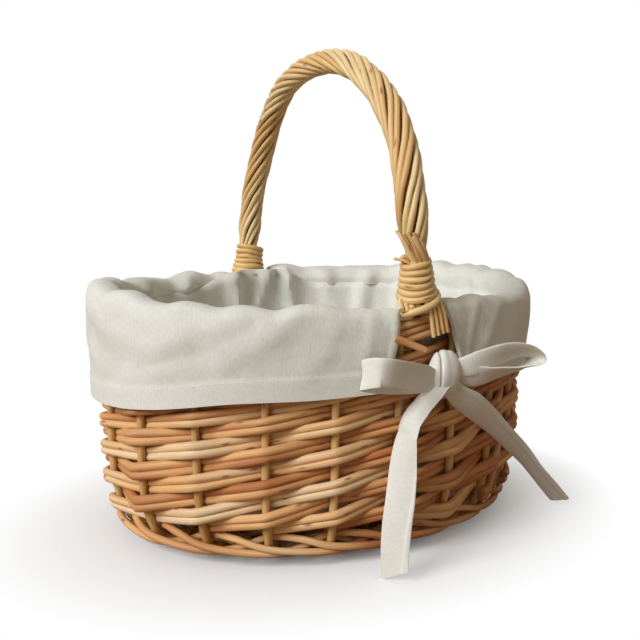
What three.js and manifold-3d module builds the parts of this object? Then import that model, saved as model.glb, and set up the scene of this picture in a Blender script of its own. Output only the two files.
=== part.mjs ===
// An oval wicker basket with a roped handle over its middle, a cloth liner whose two cuffs
// fold out over the rim, and a ribbon bow that ties the cuffs at one foot of the handle.
// Millimetres, +Z up. The origin is the middle of the base on the surface that it stands on,
// X runs along the oval and the handle stands across it, with the bow on the -Y side.
import * as THREE from "three";
import { mergeVertices } from "three/addons/utils/BufferGeometryUtils.js";
import Module from "manifold-3d";

const wasm = await Module();
wasm.setup();

// Wall: the oval line of the upright stakes at the rim, and how it draws in below
const wallHalfLength = 141.6;
const wallHalfWidth = 107.2;
const stakeCount = 20;
const stakeRadius = 2.3;
const stakeTop = 143.5;
const wallLean = 1.0;
const cornerInset = 19;
const cornerTop = 55;
const tailLength = 14;
const wallMiddle = 100;

// Weave: rods work in pairs, in front of one stake and behind the next, and climb to the right
const rodRadius = 2.1;
const rodsInRow = 2;
const rowCount = 13;
const weaverCount = 16;
const levelRows = 5;
const rodsInBorder = 3;
const clearance = 0.3;
const weaveOffset = 5.0;
const waleStep = 4.3;
const waleHeight = 14;

// Base: sticks that cross in the middle and splay, held by flat woven bands
const longSticks = 3;
const shortSticks = 3;
const rodsInEdgeBand = 3;
const rodsInBaseBand = 5;
const baseBands = 2;
const bandGap = 3;
const baseCrown = 0.8;
const soleCut = 0.8;

// Handle: a core bow with pairs of rods laid round it as a rope
const archBulge = 9.3;
const archFoot = 153.7;
const archRise = 142;
const archFullness = 2.28;
const archSkew = 4;
const archStart = 16;
const archStops = 9;
const coreRadius = 4.5;
const coreTailRadius = 2.1;
const coreTailBottom = 27;
const coreTaper = 20;
const coreShift = 11.5;
const strandPairs = 5;
const strandRadius = 1.85;
const strandFootRadius = 1.1;
const strandLay = 130;
const ropeRadius = 7.05;
const ropeSwell = 24;
const strandSteps = 27;
const strandBottom = 148;
const outerStrandBottom = 137;

// Winding that binds each foot of the handle
const windingRadius = 1.6;
const windingPitch = 3.8;
const windingTurns = 6.5;
const windingSteps = 12;
const windingTop = 177;
const windingDrop = 4.5;
const footSpread = 7.4;

// Cut rod ends that stand out above the near winding
const tipCount = 5;
const tipLength = 20;
const tipRadius = 1.2;

// Liner: a bag inside the wall and two cuffs turned out over the rim
const clothThickness = 1.4;
const clothGap = 0.5;
const rimGap = 2.0;
const bagDrop = 2;
const bagFloorInset = 24;
const bagCorner = 12;
const bagCornerRise = 1.5;
const cuffTop = 153.5;
const hemAtFoot = 105;
const hemAtEnd = 91;
const slotHalfWidth = 16;
const slotShift = 7;
const foldDepth = 2.6;
const foldCount = 5;
const cuffSteps = 22;

// Ribbon: its width and thickness, how far the knot gathers it in, and the knot's size
const ribbonWidth = 16;
const ribbonThickness = 1.6;
const gathered = 0.62;
const gatherRate = 3.2;
const knotHalfWidth = 6.5;
const knotHalfHeight = 9.5;
const knotHalfDepth = 7.4;
const loopBulge = 4.2;

// Places of the bow: along the oval, out from the stake line at the near foot, and up
const knotPlace = [20.5, 15.4, 117];
const leftLoopTip = [-34, 21.8, 121];
const rightLoopTip = [81, 25.8, 122];
const leftTailRoute = [
  [17.5, 18, 109],
  [14, 19.1, 104],
  [7.5, 20.3, 98],
  [-1.5, 21.3, 89.5],
  [-8.5, 21.3, 79],
  [-13.5, 20.3, 47],
  [-15.5, 19.3, 23],
  [-14, 19.8, 1.2],
];
const rightTailRoute = [
  [23.5, 14.4, 108],
  [28, 14.8, 102.5],
  [42, 11.8, 93],
  [63, 2.8, 78],
  [97, -10.2, 51],
  [120, -16.2, 29],
  [142, -21.2, 7.5],
];

const upright = new THREE.Vector3(0, 0, 1);
const lengthwise = new THREE.Vector3(1, 0, 0);
const quarter = Math.PI / 2;
const stakeHeight = cornerTop - (weaveOffset + rodRadius - soleCut);
const baseMiddle = weaveOffset + rodRadius - soleCut;
const rowHeight = 2 * rodRadius * rodsInRow;
const rowPitch = rowHeight + clearance;
const wallFace = weaveOffset + rodRadius;
const archHalfWidth = wallHalfWidth + archBulge;

const basket = new THREE.Group();

// Materials: buff willow in three tones, the rope's lighter rods and ivory cloth
function finish(color, roughness) {
  return new THREE.MeshStandardMaterial({ color, roughness, metalness: 0 });
}
const willow = [finish("#c98f4e", 0.6), finish("#b97a3c", 0.6), finish("#d8a868", 0.6)];
const stakeWillow = finish("#d3a35f", 0.6);
const ropeWillow = finish("#d9ac6c", 0.55);
const coreWillow = finish("#a9733a", 0.65);
const linen = finish("#e9e4d6", 0.95);
const ribbonLinen = finish("#e6e0d0", 0.9);

function add(name, geometry, material) {
  const mesh = new THREE.Mesh(geometry, material);
  mesh.name = name;
  basket.add(mesh);
  return mesh;
}

function numbered(name, index) {
  return `${name}_${String(index + 1).padStart(2, "0")}`;
}

// Sections, as points across (first) and along (second) the wall
function roundSection(radius, sides) {
  const points = [];
  for (let i = 0; i < sides; i += 1) {
    const angle = (2 * Math.PI * i) / sides;
    points.push([radius * Math.cos(angle), radius * Math.sin(angle)]);
  }
  return points;
}

// Rods side by side that touch along their length, as one lobed outline
function lobedSection(radius, rods, roundEnds) {
  const half = [];
  const far = radius * rods;
  half.push(roundEnds ? [radius / 2, -far + radius * 0.13] : [0, -far]);
  for (let i = 0; i < rods; i += 1) {
    half.push([radius, -far + radius * (2 * i + 1)]);
    if (i < rods - 1) half.push([radius / 2, -far + radius * (2 * i + 2)]);
  }
  half.push(roundEnds ? [radius / 2, far - radius * 0.13] : [0, far]);
  const back = half.map(([across, along]) => [-across, along]).reverse();
  return roundEnds ? [...half, ...back] : [...half, ...back.slice(1, -1)];
}

function flatSection(width, thickness) {
  const w = width / 2;
  const t = thickness / 2;
  return [[t, -w], [t, w], [-t, w], [-t, -w]];
}

function volumeOf(points, faces) {
  let volume = 0;
  for (let i = 0; i < faces.length; i += 3) {
    const [a, b, c] = [points[faces[i]], points[faces[i + 1]], points[faces[i + 2]]];
    volume += a.dot(b.clone().cross(c)) / 6;
  }
  return volume;
}

function solid(points, faces) {
  if (volumeOf(points, faces) < 0) {
    for (let i = 0; i < faces.length; i += 3) {
      [faces[i + 1], faces[i + 2]] = [faces[i + 2], faces[i + 1]];
    }
  }
  const geometry = new THREE.BufferGeometry();
  geometry.setAttribute("position", new THREE.Float32BufferAttribute(points.flatMap((p) => p.toArray()), 3));
  geometry.setIndex(faces);
  geometry.computeVertexNormals();
  return geometry;
}

// A section carried through stations, each with a centre and its two axes
function sweep(stations, sectionOf, closed) {
  const points = [];
  const faces = [];
  const first = sectionOf(0);
  const count = first.length;
  stations.forEach(({ at, across, along }, index) => {
    for (const [x, y] of sectionOf(index)) {
      points.push(at.clone().addScaledVector(across, x).addScaledVector(along, y));
    }
  });
  const spans = closed ? stations.length : stations.length - 1;
  for (let i = 0; i < spans; i += 1) {
    const here = i * count;
    const next = ((i + 1) % stations.length) * count;
    for (let j = 0; j < count; j += 1) {
      const k = (j + 1) % count;
      faces.push(here + j, next + k, next + j, here + j, here + k, next + k);
    }
  }
  if (!closed) {
    const outline = first.map(([x, y]) => new THREE.Vector2(x, y));
    const last = (stations.length - 1) * count;
    for (const [a, b, c] of THREE.ShapeUtils.triangulateShape(outline, [])) {
      const flip = THREE.ShapeUtils.isClockWise(outline);
      const [p, q] = flip ? [c, b] : [b, c];
      faces.push(a, q, p, last + a, last + p, last + q);
    }
  }
  return solid(points, faces);
}

// Booleans on closed meshes
function toManifold(geometry) {
  const plain = geometry.clone();
  plain.deleteAttribute("normal");
  plain.deleteAttribute("uv");
  const merged = mergeVertices(plain, 1e-4);
  return new wasm.Manifold(
    new wasm.Mesh({
      numProp: 3,
      vertProperties: new Float32Array(merged.attributes.position.array),
      triVerts: new Uint32Array(merged.index.array),
    }),
  );
}

function fromManifold(body) {
  const mesh = body.getMesh();
  const geometry = new THREE.BufferGeometry();
  geometry.setAttribute("position", new THREE.Float32BufferAttribute(mesh.vertProperties, 3));
  geometry.setIndex(Array.from(mesh.triVerts));
  geometry.computeVertexNormals();
  return geometry;
}

// What would reach below the surface that the basket stands on is cut flat
function flattenSole(geometry) {
  const depth = 20;
  const below = new THREE.BoxGeometry(4 * wallHalfLength, 4 * wallHalfLength, depth);
  below.translate(0, 0, -depth / 2);
  return fromManifold(toManifold(geometry).subtract(toManifold(below)));
}

// The stake line: how far it is drawn in at a height, and its slope there
function insetAt(z) {
  const lean = wallLean * (1 - z / stakeTop);
  if (z >= cornerTop) return lean;
  const down = Math.min(1, (cornerTop - z) / stakeHeight);
  return lean + cornerInset * (1 - Math.sqrt(1 - down * down));
}

function slopeAt(z) {
  const step = 0.05;
  return (insetAt(z + step) - insetAt(z - step)) / (2 * step);
}

function ovalPoint(angle, inset, z) {
  const x = (wallHalfLength - inset) * Math.cos(angle);
  const y = (wallHalfWidth - inset) * Math.sin(angle);
  return new THREE.Vector3(x, y, z);
}

function ovalOutward(angle) {
  const outward = new THREE.Vector3(Math.cos(angle) / wallHalfLength, Math.sin(angle) / wallHalfWidth, 0);
  return outward.normalize();
}

// A place on the wall: off the stake line by offset, and moved up along the wall by rise
function wallStation(angle, z, offset, rise = 0) {
  const outward = ovalOutward(angle);
  const tilt = Math.atan(-slopeAt(z));
  const along = outward.clone().multiplyScalar(Math.sin(tilt)).addScaledVector(upright, Math.cos(tilt));
  const across = outward.clone().multiplyScalar(Math.cos(tilt)).addScaledVector(upright, -Math.sin(tilt));
  const at = ovalPoint(angle, insetAt(z), z).addScaledVector(across, offset).addScaledVector(along, rise);
  return { at, across, along };
}

// Angles of the stakes: equal steps round the oval, the first under the near foot
function evenAngles(count) {
  const samples = 3600;
  const lengths = [0];
  for (let i = 1; i <= samples; i += 1) {
    const a = ovalPoint((2 * Math.PI * (i - 1)) / samples - quarter, 0, 0);
    const b = ovalPoint((2 * Math.PI * i) / samples - quarter, 0, 0);
    lengths.push(lengths[i - 1] + a.distanceTo(b));
  }
  const angles = [];
  for (let k = 0; k < count; k += 1) {
    const target = (lengths[samples] * k) / count;
    const index = lengths.findIndex((length) => length >= target);
    angles.push((2 * Math.PI * index) / samples - quarter);
  }
  return angles;
}
const stakeAngles = evenAngles(stakeCount);
const coreTurn = coreShift / wallHalfLength;

// Posts that the border rods go round: the stakes, and the handle's core beside two of them
const wallPosts = [];
stakeAngles.forEach((angle, index) => {
  wallPosts.push({ angle, stake: index });
  if (index % (stakeCount / 2) === 0) wallPosts.push({ angle: angle + coreTurn, stake: index });
});

// Stakes
function stakeGeometry(angle) {
  const stations = [];
  const level = { across: upright.clone().negate(), along: ovalOutward(angle) };
  const bend = cornerInset + insetAt(cornerTop);
  stations.push({ at: ovalPoint(angle, bend + tailLength, baseMiddle), ...level });
  for (const degrees of [0, 25, 48, 72]) {
    const turn = THREE.MathUtils.degToRad(degrees);
    stations.push(wallStation(angle, cornerTop - stakeHeight * Math.cos(turn) + 0.02, 0));
  }
  stations.push(wallStation(angle, cornerTop, 0));
  stations.push(wallStation(angle, stakeTop, 0));
  const side = new THREE.Vector3().crossVectors(upright, ovalOutward(angle));
  const framed = stations.map(({ at, across }) => ({ at, across, along: side }));
  return sweep(framed, () => roundSection(stakeRadius, 6), false);
}
stakeAngles.forEach((angle, index) => add(numbered("stake", index), stakeGeometry(angle), stakeWillow));

// Wale: one rod that goes round three times, in front of two stakes and behind the third
function waleGeometry() {
  const stations = [];
  for (let step = 0; step < 3 * stakeCount; step += 1) {
    const angle = stakeAngles[step % stakeCount];
    let next = stakeAngles[(step + 1) % stakeCount];
    if (next < angle) next += 2 * Math.PI;
    const middle = (angle + next) / 2;
    const stroke = step % 3;
    const rise = [waleStep / 2, -waleStep / 2, 0][stroke];
    const offset = stroke === 2 ? -weaveOffset : weaveOffset;
    stations.push(wallStation(angle, waleHeight, offset, rise));
    if (stroke === 1) stations.push(wallStation(middle, waleHeight, 0, -waleStep));
    if (stroke === 2) stations.push(wallStation(middle, waleHeight, 0, waleStep));
  }
  return sweep(stations, () => roundSection(rodRadius, 6), true);
}
add("wale", waleGeometry(), willow[1]);

// Weavers: pairs of rods that start at the wale one after another
function heightAbove(z, distance) {
  const steps = 20;
  let height = z;
  for (let i = 0; i < steps; i += 1) height += distance / steps / Math.hypot(1, slopeAt(height));
  return height;
}

// Rows that a weaver has climbed at a stake: level over the wale, then steadily to the right
const climb = weaverCount / stakeCount;
function rowsClimbed(weaver, stake) {
  const whole = Math.floor(climb * stake);
  return whole - weaver + (climb * stake - whole) * Math.min(1, (whole - weaver) / levelRows);
}

const firstRow = heightAbove(waleHeight, waleStep + rodRadius + clearance + rowHeight / 2);
function weaverGeometry(weaver) {
  const stations = [];
  let stake = Math.ceil(weaver / climb);
  for (let rows = rowsClimbed(weaver, stake); rows <= rowCount - 1; rows = rowsClimbed(weaver, stake)) {
    const side = (stake + weaver) % 2 === 0 ? -1 : 1;
    const angle = stakeAngles[stake % stakeCount];
    const beyond = rowsClimbed(weaver, stake + 1) - rows;
    const place = (turn, ahead) => {
      const climbed = Math.min(rows + beyond * ahead, rowCount - 1);
      const z = heightAbove(firstRow, climbed * rowPitch);
      stations.push(wallStation(angle + turn, z, side * weaveOffset));
    };
    place(0, 0);
    if (stake % (stakeCount / 2) === 0) place(coreTurn, coreTurn / (stakeAngles[1] - stakeAngles[0]));
    stake += 1;
  }
  return sweep(stations, () => lobedSection(rodRadius, rodsInRow, true), false);
}
for (let index = 0; index < weaverCount; index += 1) {
  add(numbered("weaver", index), weaverGeometry(index), willow[index % willow.length]);
}

// Border: rods laid on edge outside and inside the stake tops
const borderHeight = 2 * rodRadius * rodsInBorder;
const borderMiddle = heightAbove(firstRow, rowCount * rowPitch) + (borderHeight - rowHeight) / 2;
const borderTop = borderMiddle + borderHeight / 2;
function borderGeometry(side) {
  const stations = wallPosts.map(({ angle }) => wallStation(angle, borderMiddle, side * weaveOffset));
  return sweep(stations, () => lobedSection(rodRadius, rodsInBorder, false), true);
}
add("border_outer", borderGeometry(1), willow[0]);
add("border_inner", borderGeometry(-1), willow[1]);

// Base: the edge band is woven on the stakes' tails, the others on the crossed sticks
function bandGeometry(angles, inset, middle, rods, phase) {
  const stations = angles.map((angle, index) => {
    const side = (index + phase) % 2 === 0 ? 1 : -1;
    return {
      at: ovalPoint(angle, inset, middle + side * weaveOffset),
      across: upright.clone(),
      along: ovalOutward(angle),
    };
  });
  return sweep(stations, () => lobedSection(rodRadius, rods, false), true);
}

const edgeInset = cornerInset + insetAt(cornerTop) + tailLength - rodRadius * rodsInEdgeBand;
const bandWidth = 2 * rodRadius * rodsInBaseBand + 2 * clearance;
const stickReach = edgeInset + rodRadius * rodsInEdgeBand + bandGap;
const crownMiddle = baseMiddle + baseCrown;
const edgeBand = bandGeometry(stakeAngles, edgeInset, baseMiddle, rodsInEdgeBand, 1);
add("base_edge_band", flattenSole(edgeBand), willow[2]);

const stickEnds = 2 * (longSticks + shortSticks);
const stickAngles = [];
for (let i = 0; i < stickEnds; i += 1) stickAngles.push((2 * Math.PI * i) / stickEnds);
for (let i = 0; i < baseBands; i += 1) {
  const inset = stickReach + bandWidth * (i + 0.5);
  add(`base_band_${i + 1}`, bandGeometry(stickAngles, inset, crownMiddle, rodsInBaseBand, i), willow[i]);
}

function stickGeometry(angle, mirrored) {
  const inner = stickReach + bandWidth * baseBands + bandGap;
  const ends = [
    ovalPoint(mirrored, stickReach, crownMiddle),
    ovalPoint(mirrored, inner, crownMiddle),
    ovalPoint(angle, inner, crownMiddle),
    ovalPoint(angle, stickReach, crownMiddle),
  ];
  const run = new THREE.Vector3().subVectors(ends[2], ends[1]).normalize();
  const side = new THREE.Vector3().crossVectors(upright, run);
  const stations = ends.map((at) => ({ at, across: upright, along: side }));
  return sweep(stations, () => roundSection(stakeRadius, 6), false);
}

function slathGeometry() {
  const sticks = [];
  const half = Math.floor(longSticks / 2);
  for (let i = -half; i <= half; i += 1) {
    const angle = (2 * Math.PI * i) / stickEnds;
    sticks.push(stickGeometry(angle, Math.PI - angle));
    sticks.push(stickGeometry(quarter + angle, -quarter - angle));
  }
  const whole = sticks.map(toManifold).reduce((sum, stick) => sum.add(stick));
  return fromManifold(whole);
}
add("base_slath", slathGeometry(), stakeWillow);

// Handle axis: up beside a stake, over the arch and down beside the opposite stake
function halfTurned(point) {
  return new THREE.Vector3(-point.x, -point.y, point.z);
}

function archPoint(degrees) {
  const turn = THREE.MathUtils.degToRad(degrees);
  const power = 2 / archFullness;
  const reach = Math.abs(Math.cos(turn)) ** power * Math.sign(Math.cos(turn));
  const z = archFoot + archRise * Math.sin(turn) ** power;
  return new THREE.Vector3(archSkew * reach, -archHalfWidth * reach, z);
}

function handleRoute() {
  const foot = stakeAngles[0] + coreTurn;
  const heights = [coreTailBottom, cornerTop, wallMiddle, borderTop - bagDrop];
  const wall = heights.map((z) => wallStation(foot, z, 0).at);
  const arch = [];
  for (let i = 0; i < archStops; i += 1) {
    arch.push(archPoint(archStart + ((180 - 2 * archStart) * i) / (archStops - 1)));
  }
  const back = wall.map(halfTurned).reverse();
  return new THREE.CatmullRomCurve3([...wall, ...arch, ...back], false, "centripetal");
}
const route = handleRoute();
route.arcLengthDivisions = 2000;
const routeLength = route.getLength();

function handleStation(distance) {
  const u = Math.min(1, Math.max(0, distance / routeLength));
  const at = route.getPointAt(u);
  const ahead = route.getTangentAt(u);
  const across = lengthwise.clone().addScaledVector(ahead, -lengthwise.dot(ahead)).normalize();
  const along = new THREE.Vector3().crossVectors(ahead, across);
  return { at, across, along, ahead };
}

function distanceAtHeight(z) {
  let low = 0;
  let high = routeLength / 2;
  for (let i = 0; i < 40; i += 1) {
    const middle = (low + high) / 2;
    if (route.getPointAt(middle / routeLength).z < z) low = middle;
    else high = middle;
  }
  return low;
}
const strandStart = distanceAtHeight(strandBottom);
const bindTop = distanceAtHeight(windingTop) - strandStart;
const bindBottom = bindTop - windingPitch * windingTurns;
const ropeFull = bindTop + ropeSwell;

// A value that follows straight runs between stops of distance from the strands' end
function follow(stops, distance) {
  const from = Math.min(distance, routeLength - 2 * strandStart - distance);
  for (let i = 1; i < stops.length; i += 1) {
    const [d0, v0] = stops[i - 1];
    const [d1, v1] = stops[i];
    if (from <= d1) return v0 + ((v1 - v0) * Math.max(0, from - d0)) / (d1 - d0);
  }
  return stops[stops.length - 1][1];
}

const boundRadius = (strandPairs * strandFootRadius * 4 + strandPairs * 2 * clearance) / (2 * Math.PI);
const rodStops = [[0, strandFootRadius], [bindTop, strandFootRadius], [ropeFull, strandRadius]];
const rodAt = (distance) => follow(rodStops, distance);
const ringStops = [
  [0, footSpread + 0.7],
  [bindBottom, footSpread],
  [bindTop, boundRadius],
  [ropeFull, ropeRadius],
];
const ringAt = (distance) => follow(ringStops, distance);
const coreAt = (distance) => {
  const slim = boundRadius - strandFootRadius - clearance;
  const stops = [
    [-coreTaper, coreTailRadius],
    [bindTop, Math.min(slim, coreRadius)],
    [ropeFull, coreRadius],
  ];
  return follow(stops, distance);
};

function coreGeometry() {
  const steps = 30;
  const stations = [];
  const radii = [];
  for (let i = 0; i <= steps; i += 1) {
    const distance = (routeLength * i) / steps;
    stations.push(handleStation(distance));
    radii.push(coreAt(distance - strandStart));
  }
  return sweep(stations, (index) => roundSection(radii[index], 6), false);
}
add("handle_core", coreGeometry(), coreWillow);

// Rope strands: pairs of rods laid round the core, those outside the rim run down over it
function strandStation(distance, turn) {
  const { at, across, along, ahead } = handleStation(strandStart + distance);
  const ring = ringAt(distance);
  const out = across.clone().multiplyScalar(Math.cos(turn)).addScaledVector(along, Math.sin(turn));
  const aside = new THREE.Vector3().crossVectors(ahead, out);
  const lean = (2 * Math.PI * ring) / strandLay;
  const run = ahead.clone().addScaledVector(aside, lean).normalize();
  const level = new THREE.Vector3().crossVectors(run, out);
  return { at: at.clone().addScaledVector(out, ring), across: out, along: level };
}

function overRim(station) {
  const clearOfBorder = wallHalfWidth + wallFace + strandFootRadius + 2 * clearance;
  if (Math.abs(station.at.y) < clearOfBorder) return [];
  const at = station.at.clone().setZ(outerStrandBottom);
  return [{ ...station, at }];
}

function strandGeometry(index) {
  const length = routeLength - 2 * strandStart;
  const stations = [];
  const radii = [];
  for (let i = 0; i <= strandSteps; i += 1) {
    const distance = (length * i) / strandSteps;
    const turn = (2 * Math.PI * index) / strandPairs + (2 * Math.PI * distance) / strandLay;
    stations.push(strandStation(distance, turn));
    radii.push(rodAt(distance));
  }
  const before = overRim(stations[0]);
  const after = overRim(stations[strandSteps]);
  const all = [...before, ...stations, ...after];
  const sizes = [...before.map(() => radii[0]), ...radii, ...after.map(() => radii[0])];
  return sweep(all, (step) => lobedSection(sizes[step], 2, false), false);
}
for (let index = 0; index < strandPairs; index += 1) {
  add(`handle_strands_${index + 1}`, strandGeometry(index), ropeWillow);
}

// Winding: one rod in turns down the foot, its last run slanting across the front
function windingStations() {
  const stations = [];
  const slant = 0.45;
  const total = Math.round((windingTurns + slant) * windingSteps);
  const startTurn = Math.PI;
  for (let i = 0; i <= total; i += 1) {
    const turns = i / windingSteps;
    const extra = Math.max(0, turns - windingTurns) / slant;
    const distance = bindTop - windingPitch * Math.min(turns, windingTurns) - windingDrop * extra;
    const angle = startTurn - 2 * Math.PI * turns;
    const { at, across, along, ahead } = handleStation(strandStart + distance);
    const ring = ringAt(distance) + rodAt(distance) + 2 * clearance + windingRadius;
    const out = across.clone().multiplyScalar(Math.cos(angle)).addScaledVector(along, Math.sin(angle));
    stations.push({ at: at.clone().addScaledVector(out, ring), across: out, along: ahead });
  }
  return stations;
}

function straightEnd(from, beside) {
  const run = new THREE.Vector3().subVectors(from.at, beside.at).normalize();
  return { ...from, at: from.at.clone().addScaledVector(run, 2 * windingRadius) };
}

function windingGeometry() {
  const turns = windingStations();
  const last = turns.length - 1;
  const whole = [straightEnd(turns[0], turns[1]), ...turns, straightEnd(turns[last], turns[last - 1])];
  return sweep(whole, () => roundSection(windingRadius, 6), false);
}

function leastGap(stations, radius, apart) {
  let least = Infinity;
  for (let i = 0; i < stations.length; i += 1) {
    for (let j = i + apart; j < stations.length; j += 1) {
      least = Math.min(least, stations[i].at.distanceTo(stations[j].at) - 2 * radius);
    }
  }
  return least;
}
const windingShape = windingGeometry();
const windingGap = leastGap(windingStations(), windingRadius, 7);
console.log("least gap of the winding to itself, mm:", windingGap.toFixed(2));
add("handle_winding_near", windingShape, ropeWillow);
add("handle_winding_far", windingShape.clone(), ropeWillow).rotation.z = Math.PI;

// Cut ends of the foot rods, a fan of tapered rods above the near winding
function tipsGeometry() {
  const distance = bindTop + windingRadius + tipRadius + clearance;
  const { at, across, along, ahead } = handleStation(strandStart + distance);
  const rods = [];
  for (let i = 0; i < tipCount; i += 1) {
    const turn = THREE.MathUtils.degToRad(150 + 14 * i);
    const out = across.clone().multiplyScalar(Math.cos(turn)).addScaledVector(along, Math.sin(turn));
    const ring = ringAt(distance) + rodAt(distance) + tipRadius + 2 * clearance;
    const foot = at.clone().addScaledVector(out, ring);
    const run = ahead.clone().addScaledVector(out, 0.35).addScaledVector(across, -0.12 * i).normalize();
    const length = tipLength * (1 - 0.1 * (i % 2));
    const rod = new THREE.CylinderGeometry(tipRadius * 0.7, tipRadius, length, 5);
    rod.translate(0, rod.parameters.height / 2 - tipRadius, 0);
    rod.applyQuaternion(new THREE.Quaternion().setFromUnitVectors(new THREE.Vector3(0, 1, 0), run));
    rod.translate(foot.x, foot.y, foot.z);
    rods.push(toManifold(rod));
  }
  return fromManifold(rods.reduce((sum, rod) => sum.add(rod)));
}
add("foot_tips", tipsGeometry(), ropeWillow);

// Liner bag: a thin open bowl of cloth that follows the inside of the wall
function bagGeometry() {
  const face = wallFace + clothGap;
  const floor = crownMiddle + wallFace + clearance;
  const top = borderTop - bagDrop;
  const outline = [
    [cornerInset + bagFloorInset, floor],
    [cornerInset + bagCorner, floor + bagCornerRise],
    [insetAt(floor + bagCorner) + face + bagCornerRise, floor + bagCorner],
    [insetAt(cornerTop - bagCorner) + face, cornerTop - bagCorner],
    [insetAt(top) + face, top],
  ];
  const lining = outline.map(([inset, z], index) => {
    const low = index < 2;
    return [inset + (low ? 0 : clothThickness), z + (low ? clothThickness : 0)];
  });
  const rings = [...outline, ...lining.reverse()];
  const bagSteps = wallPosts.length;
  const points = [];
  const faces = [];
  for (const [inset, z] of rings) {
    for (const { angle } of wallPosts) points.push(ovalPoint(angle, inset, z));
  }
  for (let r = 0; r < rings.length - 1; r += 1) {
    for (let i = 0; i < bagSteps; i += 1) {
      const k = (i + 1) % bagSteps;
      const [here, next] = [r * bagSteps, (r + 1) * bagSteps];
      faces.push(here + i, here + k, next + k, here + i, next + k, next + i);
    }
  }
  const under = points.push(new THREE.Vector3(0, 0, outline[0][1])) - 1;
  const over = points.push(new THREE.Vector3(0, 0, outline[0][1] + clothThickness)) - 1;
  const lastRing = (rings.length - 1) * bagSteps;
  for (let i = 0; i < bagSteps; i += 1) {
    const k = (i + 1) % bagSteps;
    faces.push(under, k, i, over, lastRing + i, lastRing + k);
  }
  return solid(points, faces);
}
add("liner_bag", bagGeometry(), linen);

// Cuffs: cloth that comes up from the bag, over the border and down outside to its hem
function foldAt(angle) {
  return 0.5 + 0.3 * Math.sin(2 * foldCount * angle) + 0.2 * Math.sin(2 * (foldCount + 3) * angle + 1);
}

function cuffOutline(angle, grow) {
  const hem = hemAtFoot - (hemAtFoot - hemAtEnd) * Math.abs(Math.cos(angle)) ** 3;
  const fold = foldDepth * foldAt(angle);
  const inner = -(wallFace + rimGap + clothThickness);
  const outer = wallFace + clothGap + clothThickness + grow;
  const crest = cuffTop + fold - foldDepth / 2;
  const cloth = [
    [inner, borderTop - bagDrop + clearance],
    [inner + 0.2, crest - 4.5],
    [inner / 2, crest - 0.8],
    [outer / 3, crest],
    [outer - 1.2, crest - 2.6],
    [outer + fold, crest - 9],
    [outer + fold * 0.6, (crest + hem) / 2],
    [outer + fold * 1.2, hem],
  ];
  const t = clothThickness;
  const inside = [
    [t, 0],
    [t, -0.8],
    [0.5, -t],
    [-0.2, -t],
    [-0.8, -t],
    [-t, -0.4],
    [-t, 0],
    [-t, 0],
  ];
  const back = cloth.map(([offset, z], i) => [offset + inside[i][0], z + inside[i][1]]).reverse();
  return [...cloth, ...back];
}

function cuffGeometry(from, to, grow = 0) {
  const angles = [];
  for (let i = 0; i <= cuffSteps; i += 1) angles.push(from + ((to - from) * i) / cuffSteps);
  const stations = angles.map((angle) => ({
    at: ovalPoint(angle, 0, 0),
    across: ovalOutward(angle),
    along: upright,
  }));
  return sweep(stations, (index) => cuffOutline(angles[index], grow), false);
}
const slotEdge = (x) => Math.asin(x / (wallHalfLength + wallFace));
const wideSide = slotEdge(slotShift + slotHalfWidth);
const narrowSide = slotEdge(slotHalfWidth - slotShift);
const cuffSpans = [
  [-quarter + wideSide, quarter - narrowSide],
  [quarter + wideSide, 3 * quarter - narrowSide],
];
add("cuff_right", cuffGeometry(...cuffSpans[0]), linen);
add("cuff_left", cuffGeometry(...cuffSpans[1]), linen);

// Ribbon strips: the width lies along the given direction and is gathered in at the knot
const bowPlace = ([x, out, z]) => new THREE.Vector3(x, -wallHalfWidth - out, z);
const knotAt = bowPlace(knotPlace);

function stripGeometry({ route: stops, width, bothEnds }, grow = 0) {
  const curve = new THREE.CatmullRomCurve3(stops, false, "centripetal");
  const steps = 2 * (stops.length - 1);
  const stations = [];
  const shares = [];
  for (let i = 0; i <= steps; i += 1) {
    const u = i / steps;
    const run = curve.getTangent(u);
    const along = width.clone().addScaledVector(run, -width.dot(run)).normalize();
    const across = new THREE.Vector3().crossVectors(run, along);
    const reach = { 0: -grow, [steps]: grow }[i] ?? 0;
    stations.push({ at: curve.getPoint(u).addScaledVector(run, reach), across, along });
    const fromKnot = bothEnds ? Math.min(u, 1 - u) : u;
    shares.push(Math.min(1, gathered + gatherRate * fromKnot));
  }
  const section = (index) => flatSection(ribbonWidth * shares[index] + 2 * grow, ribbonThickness + 2 * grow);
  return sweep(stations, section, false);
}

// A loop leaves the knot, turns at its tip and comes back behind itself
function loopStrip(tip, bulge) {
  const run = bowPlace(tip).sub(knotAt);
  const length = run.length();
  run.normalize();
  const start = knotHalfWidth * 0.72;
  const front = new THREE.Vector3(0, -1, 0);
  const points = [
    [start, 1.8],
    [length * 0.35, bulge],
    [length * 0.8, bulge * 1.15],
    [length, 0],
    [length * 0.8, -bulge],
    [length * 0.35, -bulge * 0.8],
    [start, -1.8],
  ].map(([far, off]) => knotAt.clone().addScaledVector(run, far).addScaledVector(front, off));
  return { route: points, width: upright, bothEnds: true };
}

const strips = {
  bow_loop_left: loopStrip(leftLoopTip, loopBulge),
  bow_loop_right: loopStrip(rightLoopTip, loopBulge),
  bow_tail_left: { route: leftTailRoute.map(bowPlace), width: lengthwise },
  bow_tail_right: { route: rightTailRoute.map(bowPlace), width: new THREE.Vector3(0.35, -0.2, 0.9) },
};
for (const [name, strip] of Object.entries(strips)) add(name, stripGeometry(strip), ribbonLinen);

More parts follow.
